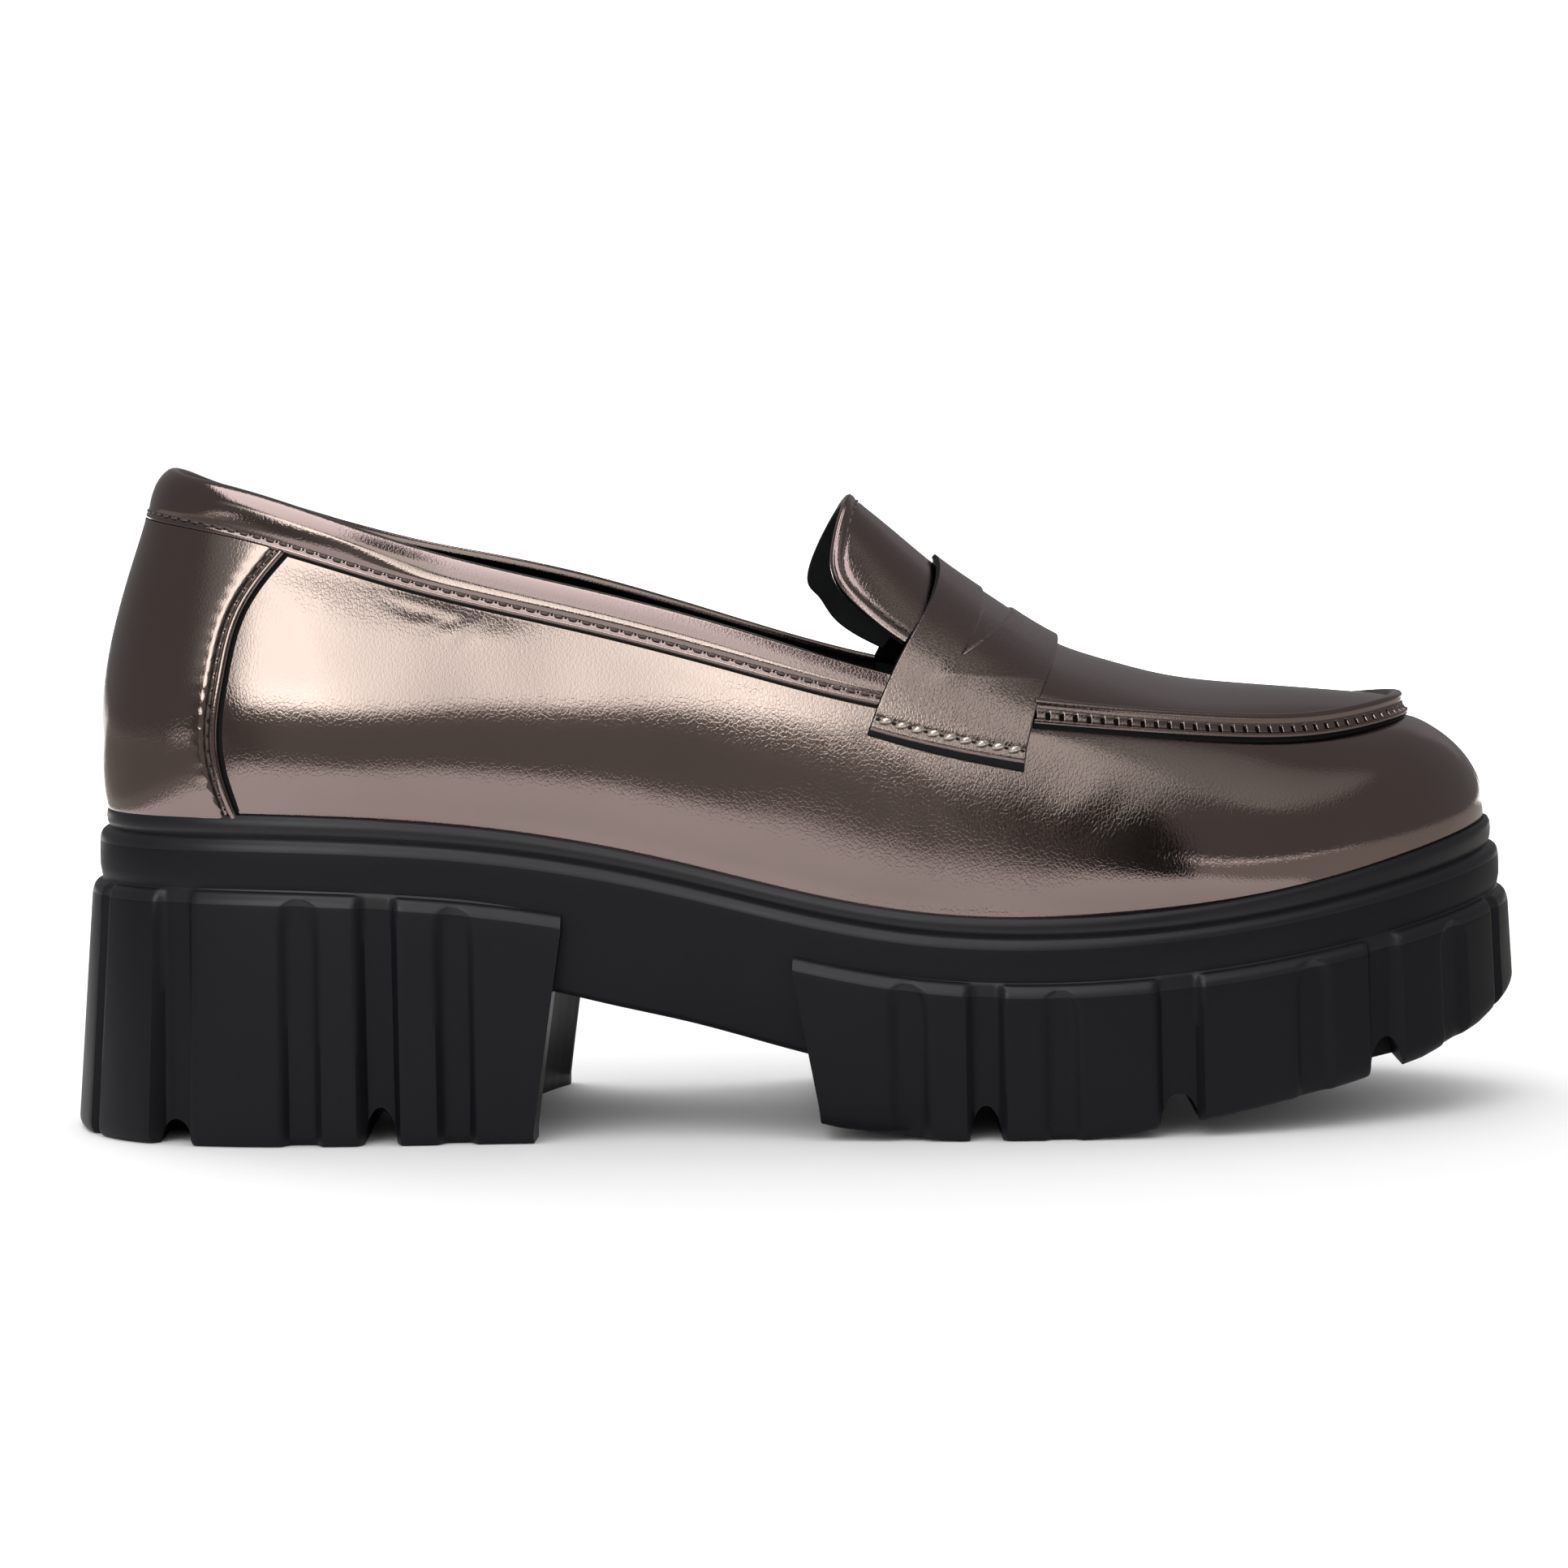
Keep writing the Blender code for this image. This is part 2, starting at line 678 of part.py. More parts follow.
def hollow_breast(heel, low, high, cutters):
    """Cut the front face of the heel hollow between its two corners, along its slant."""
    half = np.linalg.norm(low[-1] - low[0]) / 2.0 - BREAST_RIM
    radius = (half ** 2 + BREAST_HOLLOW ** 2) / (2.0 * BREAST_HOLLOW)
    middle = (low[0] + low[-1]) / 2.0
    lean = (high[0] + high[-1]) / 2.0 - middle
    bm = bmesh.new()
    bmesh.ops.create_cone(bm, cap_ends=True, segments=BREAST_SIDES, radius1=radius, radius2=radius,
                          depth=BREAST_REACH)
    for vert in bm.verts:
        vert.co.x += middle[0] - BREAST_HOLLOW + radius + vert.co.z * lean[0] / lean[2]
        vert.co.y += middle[1]
    cutter = mesh_object("heel_hollow", bm, None, cutters)
    cut = heel.modifiers.new("hollow", "BOOLEAN")
    cut.operation = "DIFFERENCE"
    cut.object = cutter
    apply_modifiers(heel)
    bpy.data.objects.remove(cutter)


def union(thing, others):
    """Fuse other solids into one and take them away."""
    for other in others:
        joint = thing.modifiers.new("union", "BOOLEAN")
        joint.operation = "UNION"
        joint.object = other
    apply_modifiers(thing)
    for other in others:
        bpy.data.objects.remove(other)


def apply_modifiers(thing):
    """Replace an object's mesh by its evaluated mesh."""
    view = bpy.context.evaluated_depsgraph_get()
    mesh = bpy.data.meshes.new_from_object(thing.evaluated_get(view))
    thing.modifiers.clear()
    thing.data = mesh


def build_sole(material, parts, cutters):
    """Sole unit: platform, heel block and fore block in one moulded piece, grooved below."""
    tread = curve(TREAD, "height", straight=True)
    level_floor = np.zeros_like
    heel_along = rib_stations(0.0, BREAST_TOP)[::-1]
    fore_along = rib_stations(WAIST_EDGE_TOP, HALF_LENGTH)
    heel_rings = block_rings(heel_along, HEEL_BLOCK_SIDE, HEEL_RIB_DROP, level_floor,
                             -BREAST_SLANT, BREAST_SKEW)
    fore_rings = block_rings(fore_along, FORE_BLOCK_SIDE, FORE_RIB_DROP, tread, WAIST_EDGE_SLANT, 0.0)
    sole = mesh_object("sole_unit", build_platform(), material, parts)
    heel = mesh_object("heel_block", build_block(heel_rings), material, parts)
    fore = mesh_object("fore_block", build_block(fore_rings), material, parts)
    hollow_breast(heel, heel_rings[-1], heel_rings[0], cutters)
    union(sole, (heel, fore))
    for s, half_width, height, solid_middle in TREAD_GROOVES[1:]:
        floor = float(tread(s)) if s > WAIST_EDGE_TOP else 0.0
        for side in (-1.0, 1.0) if solid_middle else (0.0,):
            middle = side * (solid_middle + 0.5 * GROOVE_REACH)
            cut_groove(sole, (s, middle, floor), half_width, height, cutters)
    return sole


def cut_groove(sole, place, half_width, height, cutters):
    """Round-topped groove in the tread, by a bar with its middle at a place on the tread."""
    s, middle, floor = place
    bm = bmesh.new()
    bmesh.ops.create_cone(bm, cap_ends=True, segments=GROOVE_SIDES, radius1=1.0, radius2=1.0,
                          depth=GROOVE_REACH)
    turn = np.array(((1.0, 0.0, 0.0), (0.0, 0.0, 1.0), (0.0, -1.0, 0.0)))
    for vert in bm.verts:
        x, y, z = turn @ np.array(vert.co)
        vert.co = (s + x * half_width, middle + y, floor - GROOVE_SUNK + z * (height + GROOVE_SUNK))
    cutter = mesh_object(f"tread_groove_{s:.0f}", bm, None, cutters)
    cutter.hide_render = True
    cutter.display_type = "WIRE"
    cut = sole.modifiers.new("tread groove", "BOOLEAN")
    cut.operation = "DIFFERENCE"
    cut.object = cutter


def build_insole(material, parts):
    """Footbed sheet lying on the seat, inside the wall of the upper."""
    inset = UPPER_WALL + INSOLE_CLEARANCE
    half = np.array(STATIONS)
    sides = [platform_ring(t, -inset, lambda s: welt_height(s) - SEAT_DEPTH * step_scale(s) + FIT_GAP)
             for t in (half, 2.0 - half)]
    bm = bmesh.new()
    add_grid(bm, np.stack(sides))
    weld(bm)
    insole = mesh_object("insole", bm, material, parts)
    solidify(insole, INSOLE_THICKNESS, outward=True)
    return insole


def build_upper(material, parts):
    """Hollow upper: wall and strip all round, apron in front of the throat."""
    ring = np.concatenate((ring_places(), [2.0]))
    wall = np.array(WALL_ROWS)
    front = np.array([a for a in STATIONS if a >= THROAT])
    arch = np.array(ARCH_ROWS)
    bm = bmesh.new()
    add_grid(bm, upper_point(ring[None, :], wall[:, None]))
    add_grid(bm, upper_point(front[None, :], arch[:, None]))
    add_grid(bm, upper_point(2.0 - front[None, ::-1], arch[:, None]))
    weld(bm)
    upper = mesh_object("upper", bm, material, parts)
    solidify(upper, UPPER_WALL, outward=False)
    return upper


def build_counter(material, parts):
    """Counter round the heel back, with a curved front edge on both sides."""
    edge = curve(COUNTER_EDGE, "along")
    girths = np.array(COUNTER_ROWS)
    spread = np.linspace(-1.0, 1.0, COUNTER_COLUMNS)
    reach = edge(girths) / HALF_LENGTH
    t = -spread[None, ::-1] * reach[:, None]
    bm = bmesh.new()
    add_grid(bm, lifted_point(t, np.repeat(girths[:, None], len(spread), axis=1),
                              np.full(t.shape, OVERLAY_GAP)))
    counter = mesh_object("heel_counter", bm, material, parts)
    solidify(counter, OVERLAY_WALL, outward=True)
    return counter


def build_collar_band(material, parts):
    """Band round the topline, from strap to strap."""
    girths = np.array(BAND_ROWS)
    ends = strap_back(girths) - STRAP_CLEARANCE
    inner = [a for a in STATIONS if a < ends.min() - 0.01]
    half = np.column_stack((np.tile(inner, (len(girths), 1)), ends))
    t = np.concatenate((-half[:, :0:-1], half), axis=1)
    bm = bmesh.new()
    add_grid(bm, lifted_point(t, girths[:, None], np.full(t.shape, OVERLAY_GAP)))
    band = mesh_object("collar_band", bm, material, parts)
    solidify(band, OVERLAY_WALL, outward=True)
    return band


def build_apron_seam(material, parts):
    """Raised seam round the apron, from strap to strap by the toe."""
    start = float(strap_front(2.0)) + STRAP_CLEARANCE
    half = np.array([start] + [a for a in STATIONS if a > start + 0.004])
    t = np.concatenate((half, 2.0 - half[-2::-1]))
    rows = np.array(APRON_SEAM[1:])
    points = lifted_point(t[:, None], 1.0 + rows[None, :, 0],
                          np.repeat(rows[None, :, 1], len(t), axis=0))
    bm = bmesh.new()
    loops = [[bm.verts.new(point) for point in section] for section in points]
    count = len(rows)
    for one, two in zip(loops, loops[1:]):
        for i in range(count):
            k = (i + 1) % count
            bm.faces.new((one[i], two[i], two[k], one[k]))
    bm.faces.new(loops[0])
    bm.faces.new(reversed(loops[-1]))
    bmesh.ops.recalc_face_normals(bm, faces=bm.faces)
    return mesh_object("apron_seam", bm, material, parts)


def build_strap(material, parts):
    """Saddle strap over the instep, with its slot on the ridge."""
    across = np.array(STRAP_COLUMNS)
    rise = np.array(STRAP_ROWS)
    low = STRAP_LOW_BACK + (STRAP_LOW_FRONT - STRAP_LOW_BACK) * across
    over = np.repeat(rise[:, None], len(across), axis=1)
    side = np.concatenate((low[None, :], (low[None, :] + 1.0) / 2.0, over))
    place = strap_back(side) + (strap_front(side) - strap_back(side)) * across[None, :]
    lift = OVERLAY_GAP + STRAP_LIFT * strap_bridge(side)
    outer = lifted_point(place, side, lift)
    inner = lifted_point(2.0 - place[-2::-1], side[-2::-1], lift[-2::-1])
    points = np.concatenate((outer, inner))
    first = len(side) - len(rise) + STRAP_ROWS.index(3.0 - SLOT_REACH)
    last = len(points) - 1 - first
    back = STRAP_COLUMNS.index(SLOT_BACK)
    fore = STRAP_COLUMNS.index(SLOT_FRONT)
    bm = bmesh.new()
    add_grid(bm, points, skip=lambda r, c: first <= r < last and back <= c < fore)
    strap = mesh_object("saddle_strap", bm, material, parts)
    solidify(strap, STRAP_WALL, outward=True)
    return strap


def build_tongue(material, parts):
    """Tongue: an arched sheet behind the throat, its rounded end standing up from the foot."""
    places = np.array(TONGUE_PLACES)
    spread = np.linspace(-1.0, 1.0, TONGUE_COLUMNS)
    bend = {}
    for side in ("lateral", "medial"):
        radius = curve(TONGUE, side + "_radius")(places)
        angle = curve(TONGUE, side + "_angle", straight=True)(places)
        bend[side] = (radius[:, None], np.radians(angle)[:, None])
    outer = spread[None, :] < 0.0
    radius = np.where(outer, bend["lateral"][0], bend["medial"][0])
    angle = spread[None, :] * np.where(outer, bend["lateral"][1], bend["medial"][1])
    along, square = ridge_frame(places)
    throat, _ = ridge_point(np.array((THROAT,)))
    middle = throat[0, 1]
    ridge = np.stack((places, np.full_like(places, middle), ridge_height(places)), axis=-1)
    sheet = ridge[:, None, :] - square[:, None, :] * (radius * (1.0 - np.cos(angle)))[..., None]
    sheet[..., 1] += radius * np.sin(angle)
    bm = bmesh.new()
    add_grid(bm, np.transpose(sheet, (1, 0, 2)))
    tongue = mesh_object("tongue", bm, material, parts)
    solidify(tongue, TONGUE_WALL, outward=False)
    return tongue


def plain_material(name, colour, roughness, metallic):
    """Principled material with one colour."""
    material = bpy.data.materials.new(name)
    material.use_nodes = True
    shader = material.node_tree.nodes["Principled BSDF"]
    shader.inputs["Base Color"].default_value = (*colour, 1.0)
    shader.inputs["Roughness"].default_value = roughness
    shader.inputs["Metallic"].default_value = metallic
    return material


def main():
    """Build the shoe and stand it over the origin."""
    for thing in list(bpy.data.objects):
        bpy.data.objects.remove(thing)
    parts = bpy.data.collections.new("heeled_loafer")
    cutters = bpy.data.collections.new("cutters")
    for collection in (parts, cutters):
        bpy.context.scene.collection.children.link(collection)
    rubber = plain_material("black_rubber", (0.012, 0.012, 0.013), 0.5, 0.0)
    pewter = plain_material("pewter_leather", (0.20, 0.17, 0.165), 0.35, 0.8)
    lining = plain_material("black_lining", (0.02, 0.02, 0.021), 0.75, 0.0)
    sole = build_sole(rubber, parts, cutters)
    pieces = [sole, build_insole(lining, parts)]
    overlays = (build_counter, build_collar_band, build_apron_seam, build_strap, build_tongue)
    for build in (build_upper,) + overlays:
        pieces.append(build(pewter, parts))
    corners = np.array([vert.co for vert in sole.data.vertices])
    middle = (corners.min(axis=0) + corners.max(axis=0)) / 2.0
    stand = bpy.data.objects.new("loafer_stand", None)
    stand.location = (-middle[0], -middle[1], 0.0)
    parts.objects.link(stand)
    for thing in pieces + list(cutters.objects):
        thing.parent = stand


main()
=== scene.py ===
# %% [markdown]
# # A penny loafer in pewter foil leather
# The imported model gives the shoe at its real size: sole, insole, upper, counter, collar band, apron
# seam, saddle strap and tongue. This lesson dresses it. Each visible piece is made again as a fine mesh
# of the same form, with its folded edges, stitches and creases, and gets the finish of its real
# material.

# %% Load the frame
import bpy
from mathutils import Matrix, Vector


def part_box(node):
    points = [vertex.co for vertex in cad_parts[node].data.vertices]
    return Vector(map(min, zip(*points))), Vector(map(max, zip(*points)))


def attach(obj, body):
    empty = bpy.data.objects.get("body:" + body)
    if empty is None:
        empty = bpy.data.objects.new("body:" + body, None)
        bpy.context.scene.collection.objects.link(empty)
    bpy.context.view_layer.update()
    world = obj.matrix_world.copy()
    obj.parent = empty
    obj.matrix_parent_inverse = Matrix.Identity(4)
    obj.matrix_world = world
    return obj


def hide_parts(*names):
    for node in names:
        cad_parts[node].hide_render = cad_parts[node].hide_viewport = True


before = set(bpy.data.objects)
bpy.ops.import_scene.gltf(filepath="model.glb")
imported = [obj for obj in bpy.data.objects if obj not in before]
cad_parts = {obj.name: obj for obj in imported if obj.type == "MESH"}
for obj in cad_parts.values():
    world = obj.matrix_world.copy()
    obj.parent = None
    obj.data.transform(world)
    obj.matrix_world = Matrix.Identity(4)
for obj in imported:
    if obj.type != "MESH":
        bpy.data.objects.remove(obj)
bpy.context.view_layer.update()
print("nodes:", sorted(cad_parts))

# %% [markdown]
# ## The shape of the last
# A shoemaker works round a last, and every piece takes its shape from it. Here the last is a set of
# short tables, one row for each section, in millimetres: s runs from the heel back to the toe, y to the
# inner side of the foot, z up. The tables are those of the solid model, so that the fine pieces sit
# where the solids are.

# %% Sizes and outline
import math

import bmesh
import bpy
import numpy as np
from mathutils import Matrix, Vector

MM = 0.001
FEATHER_LENGTH = 260.0
TOE_TIP_SIDE = 4.0
UPPER_WALL = 1.6
OVERLAY_WALL = 1.0
STRAP_WALL = 1.0
TONGUE_WALL = 1.6
INSOLE_THICKNESS = 2.0
INSOLE_INSET = 2.1
SEAT_DEPTH = 2.2
FIT_GAP = 0.3
OVERLAY_GAP = 0.45
OUTLINE_SAMPLES = 4001
OUTLINE_LAP = 4

OUTLINE = (
    ("s", "lateral", "medial"),
    (7.6, 18.6, 18.6),
    (28.0, 27.8, 27.6),
    (70.0, 30.2, 28.6),
    (110.0, 33.2, 28.6),
    (145.0, 39.4, 33.6),
    (176.0, 42.6, 40.4),
    (206.0, 41.0, 42.0),
    (234.0, 32.0, 36.0),
    (251.0, 18.4, 25.0),
)
WELT = (
    ("s", "height", "step_scale"),
    (0.0, 60.9, 1.0),
    (40.0, 60.0, 1.0),
    (72.0, 57.3, 0.98),
    (102.0, 51.9, 0.94),
    (132.0, 44.6, 0.9),
    (150.0, 41.4, 0.88),
    (172.0, 40.0, 0.86),
    (200.0, 41.2, 0.84),
    (230.0, 45.4, 0.84),
    (260.0, 51.5, 0.84),
)
print("feather line", FEATHER_LENGTH, "mm long, in", len(OUTLINE) - 1, "sections")

# %% Sections of the upper
WALL = (
    ("s", "inset", "medial_inset", "bulge", "peak", "sharpness"),
    (0.0, 8.7, 8.7, 3.9, 0.42, 2.1),
    (30.0, 5.6, 5.6, 3.9, 0.43, 2.1),
    (58.0, 3.2, 3.0, 3.7, 0.46, 2.0),
    (88.0, 0.8, 0.7, 2.8, 0.5, 2.0),
    (117.0, -0.4, -0.3, 1.95, 0.5, 2.0),
    (147.0, 0.1, 0.5, 1.85, 0.52, 1.9),
    (176.0, 3.9, 4.2, 3.6, 0.57, 1.6),
    (190.0, 6.3, 6.6, 5.0, 0.52, 1.6),
    (204.0, 9.0, 9.3, 5.6, 0.48, 1.65),
    (230.0, 12.5, 12.6, 5.9, 0.50, 1.7),
    (250.0, 13.9, 13.9, 6.2, 0.58, 1.6),
    (260.0, 14.2, 14.2, 6.2, 0.60, 1.6),
)
SIDE_BLEND = 0.35
SEAM = (
    ("s", "height"),
    (7.5, 114.9),
    (28.0, 110.8),
    (58.0, 101.7),
    (88.0, 94.2),
    (118.0, 86.2),
    (143.5, 79.4),
    (175.0, 74.7),
    (204.0, 71.5),
    (226.0, 70.4),
    (246.0, 72.6),
)
STRIP = (
    ("s", "rise", "medial_rise", "inset"),
    (0.0, 9.6, 9.6, 3.2),
    (40.0, 8.8, 6.4, 2.4),
    (73.0, 7.7, 7.7, 1.7),
    (118.0, 7.3, 6.2, 1.6),
    (147.0, 6.0, 5.2, 2.4),
    (175.0, 4.4, 4.4, 3.0),
    (204.0, 4.1, 4.1, 3.0),
    (260.0, 3.8, 3.8, 3.0),
)
STRIP_LEAN = 0.9
RIDGE = (
    ("s", "height"),
    (136.0, 120.5),
    (148.7, 110.0),
    (156.0, 103.7),
    (164.6, 97.4),
    (172.0, 92.3),
    (179.6, 87.8),
    (188.0, 84.7),
    (200.6, 81.2),
    (213.0, 79.5),
    (228.4, 78.0),
    (243.0, 76.4),
)
APRON = (
    ("s", "lead", "fullness"),
    (140.0, 12.2, 0.72),
    (149.4, 10.4, 0.72),
    (160.0, 7.8, 0.66),
    (172.5, 5.2, 0.5),
    (195.0, 2.0, 0.25),
    (215.0, 0.4, 0.1),
    (230.0, -2.0, 0.05),
    (243.0, -7.5, 0.0),
)
print("upper:", len(WALL) - 1, "wall rows,", len(SEAM) - 1, "seam rows,", len(RIDGE) - 1, "ridge rows")

# %% [markdown]
# A table becomes a function by a natural cubic spline, the curve that a thin batten takes through the
# same points. Blender's own curves could do this too, but a function can be asked for any number of
# points, so the same last serves a coarse solid and a fine mesh.


# %% Curves through the tables
def spline(knots, values):
    """Natural cubic spline through the points of a table, held level past its ends."""
    x = np.asarray(knots, float)
    y = np.asarray(values, float)
    count = len(x)
    step = np.diff(x)
    matrix = np.eye(count)
    right = np.zeros_like(y)
    for i in range(1, count - 1):
        matrix[i, i - 1:i + 2] = step[i - 1], 2.0 * (step[i - 1] + step[i]), step[i]
        right[i] = 6.0 * ((y[i + 1] - y[i]) / step[i] - (y[i] - y[i - 1]) / step[i - 1])
    second = np.linalg.solve(matrix, right)

    def value(at):
        at = np.clip(np.asarray(at, float), x[0], x[-1])
        i = np.clip(np.searchsorted(x, at) - 1, 0, count - 2)
        h = step[i]
        back = (x[i + 1] - at) / h
        fore = (at - x[i]) / h
        bend = h * h / 6.0
        if y.ndim == 2:
            back, fore, bend = back[..., None], fore[..., None], bend[..., None]
        return (back * y[i] + fore * y[i + 1]
                + bend * ((back ** 3 - back) * second[i] + (fore ** 3 - fore) * second[i + 1]))

    return value


def curve(table, name, straight=False):
    """Function of a table's first column that gives the named column."""
    column = table[0].index(name)
    knots = [row[0] for row in table[1:]]
    values = [row[column] for row in table[1:]]
    if straight:
        return lambda at: np.interp(at, knots, values)
    return spline(knots, values)


def soft_step(low, high, x):
    """0 below low, 1 above high, with a soft turn between."""
    x = np.clip((x - low) / (high - low), 0.0, 1.0)
    return x * x * (3.0 - 2.0 * x)


def soft_span(start, end, half, x):
    """1 from start to end and 0 outside, with a soft turn of twice the half width at each."""
    return soft_step(start - half, start + half, x) * (1.0 - soft_step(end - half, end + half, x))


def unit(vectors):
    """Vectors of length one."""
    return vectors / np.linalg.norm(vectors, axis=-1)[..., None]


def run_along(points):
    """Length along a line of points, counted from its first point."""
    steps = np.linalg.norm(np.diff(points, axis=0), axis=-1)
    return np.concatenate((np.zeros_like(steps[:1]), np.cumsum(steps, axis=0)))


def over_ridge(outer, inner):
    """Rows of the outer half up to the ridge, then those of the inner half down again."""
    return np.concatenate((outer, inner[-2::-1]))


print("welt under the ball:", float(curve(WELT, "height")(172.0)), "mm high")


# %% The feather line
def closed_outline():
    """Feather line as a dense closed curve, with t from 0 (heel) by 1 (toe) to 2 (heel)."""
    rows = OUTLINE[1:]
    lateral = [(s, -width) for s, width, _ in rows]
    medial = [(s, width) for s, _, width in reversed(rows)]
    corners = [(0.0, 0.0)] + lateral + [(FEATHER_LENGTH, TOE_TIP_SIDE)] + medial
    lap = OUTLINE_LAP
    points = np.array(corners[-lap:] + corners + corners[:lap + 1])
    chord = run_along(points)
    line = spline(chord, points)
    dense = line(np.linspace(chord[lap], chord[lap + len(corners)], OUTLINE_SAMPLES))
    along = run_along(dense)
    tangent = np.gradient(dense, axis=0)
    tangent[0] = tangent[-1] = tangent[0] + tangent[-1]
    tangent = unit(tangent)
    normal = np.column_stack((tangent[:, 1], -tangent[:, 0]))
    toe = int(np.argmax(dense[:, 0]))
    share = np.where(along <= along[toe], along / along[toe],
                     1.0 + (along - along[toe]) / (along[-1] - along[toe]))
    return share, dense, normal, along[toe]


SHARE, LINE, NORMAL, HALF_LENGTH = closed_outline()


def feather(t):
    """Plan point and outward direction on the feather line."""
    t = np.mod(t, 2.0)
    point = np.stack([np.interp(t, SHARE, LINE[:, k]) for k in (0, 1)], axis=-1)
    out = np.stack([np.interp(t, SHARE, NORMAL[:, k]) for k in (0, 1)], axis=-1)
    return point, out


def solid_point(plan, height):
    """Plan point with its height."""
    return np.concatenate((plan, np.asarray(height)[..., None]), axis=-1)


print(f"outer feather line, heel to toe: {HALF_LENGTH:.1f} mm")

# %% [markdown]
# The upper has three zones. The wall rises from the sole to the seam line with a soft bulge, the strip
# above it is the collar at the back and the edge of the apron in front, and the apron arches over the
# toes to a ridge. One number, the girth, runs through all three: 0 at the sole, 1 at the seam line, 2
# at the top of the strip, 3 on the ridge.

# %% Wall and strip
welt_height = curve(WELT, "height")
step_scale = curve(WELT, "step_scale")
wall_inset = curve(WALL, "inset")
wall_medial_inset = curve(WALL, "medial_inset")
wall_bulge = curve(WALL, "bulge")
wall_peak = curve(WALL, "peak")
wall_sharpness = curve(WALL, "sharpness")
seam_height = curve(SEAM, "height")
strip_rise = curve(STRIP, "rise")
strip_medial_rise = curve(STRIP, "medial_rise")
strip_inset = curve(STRIP, "inset")


def bulge_profile(share, peak, sharpness):
    """Swelling of the wall: 0 at both ends, 1 at the peak."""
    share = np.clip(share, 0.0, 1.0)
    low = (share / peak) ** (peak * sharpness)
    high = ((1.0 - share) / (1.0 - peak)) ** ((1.0 - peak) * sharpness)
    return low * high


def inner_share(t):
    """Share of the inner side: 0 along the outer side, 1 along the inner, blended through heel and toe."""
    return 0.5 - 0.5 * np.clip(np.sin(np.pi * np.mod(t, 2.0)) / SIDE_BLEND, -1.0, 1.0)


def seam_inset(t, s):
    """Inset of the seam line."""
    side = inner_share(t)
    return wall_inset(s) * (1.0 - side) + wall_medial_inset(s) * side


def wall_point(t, share):
    """Outer face of the wall, from the feather line (share 0) to the seam line (share 1)."""
    plan, out = feather(t)
    s = plan[..., 0]
    inset = seam_inset(t, s)
    top = plan - out * inset[..., None]
    swell = wall_bulge(s) * bulge_profile(share, wall_peak(s), wall_sharpness(s))
    low = welt_height(s)
    high = seam_height(top[..., 0])
    where = plan + out * (swell - inset * np.clip(share, 0.0, 1.0))[..., None]
    sunk = np.minimum(share, 0.0) * (SEAT_DEPTH * step_scale(s) - FIT_GAP)
    return solid_point(where, low + (high - low) * np.clip(share, 0.0, 1.0) + sunk)


def strip_point(t, share):
    """Strip from the seam line (share 0) to the collar's edge or the apron's edge (share 1)."""
    plan, out = feather(t)
    s = plan[..., 0]
    seam = wall_point(t, np.ones_like(s))
    lean = strip_inset(s) * (STRIP_LEAN * share + (1.0 - STRIP_LEAN) * share ** 2)
    side = inner_share(t)
    rise = (strip_rise(s) * (1.0 - side) + strip_medial_rise(s) * side) * share
    return solid_point(seam[..., :2] - out * lean[..., None], seam[..., 2] + rise)


print("seam line at the heel back:", wall_point(np.array([0.0]), np.array([1.0])).round(1)[0])

# %% Apron and ridge
ridge_height = curve(RIDGE, "height")
ridge_lead = curve(APRON, "lead")
apron_fullness = curve(APRON, "fullness")


def ridge_point(t):
    """Point of the ridge line that belongs to a pair of edge points, and the edge point."""
    edge = strip_point(t, np.ones_like(t))
    mate = strip_point(2.0 - t, np.ones_like(t))
    middle = 0.5 * (edge + mate)
    s = middle[..., 0] + ridge_lead(middle[..., 0])
    return np.stack((s, middle[..., 1], ridge_height(s)), axis=-1), edge


def ridge_frame(s):
    """Direction along the ridge and the direction square to it, both in the side view."""
    slope = ridge_height(s + 0.5) - ridge_height(s - 0.5)
    along = unit(np.stack((np.ones_like(s), np.zeros_like(s), slope), axis=-1))
    square = np.stack((-along[..., 2], np.zeros_like(s), along[..., 0]), axis=-1)
    return along, square


def apron_point(t, share):
    """Arch from the strip's upper edge (share 0) to the ridge (share 1)."""
    ridge, edge = ridge_point(t)
    along, square = ridge_frame(ridge[..., 0])
    reach = edge - ridge
    depth = np.sum(reach * square, axis=-1)
    drift = np.sum(reach * along, axis=-1)
    r = 1.0 - share
    full = apron_fullness(edge[..., 0])
    fall = (1.0 - full) * r ** 2 + full * (1.0 - np.sqrt(np.clip(1.0 - r ** 2, 0.0, 1.0)))
    sideways = np.zeros_like(ridge)
    sideways[..., 1] = reach[..., 1] * r
    return ridge + square * (depth * fall)[..., None] + along * (drift * r)[..., None] + sideways


print("ridge over the ball:", float(ridge_height(180.0)), "mm high")


# %% The whole upper, and points lifted off it
STEP_T = 0.002
STEP_GIRTH = 0.04


def upper_point(t, girth):
    """Outer face of the upper: girth -1 to 1 is the wall, 1 to 2 the strip, 2 to 3 the apron."""
    t, girth = np.broadcast_arrays(np.asarray(t, float), np.asarray(girth, float))
    wall = wall_point(t, np.clip(girth, -1.0, 1.0))
    strip = strip_point(t, np.clip(girth - 1.0, 0.0, 1.0))
    apron = apron_point(t, np.clip(girth - 2.0, 0.0, 1.0))
    zone = girth[..., None]
    return np.where(zone <= 1.0, wall, np.where(zone <= 2.0, strip, apron))


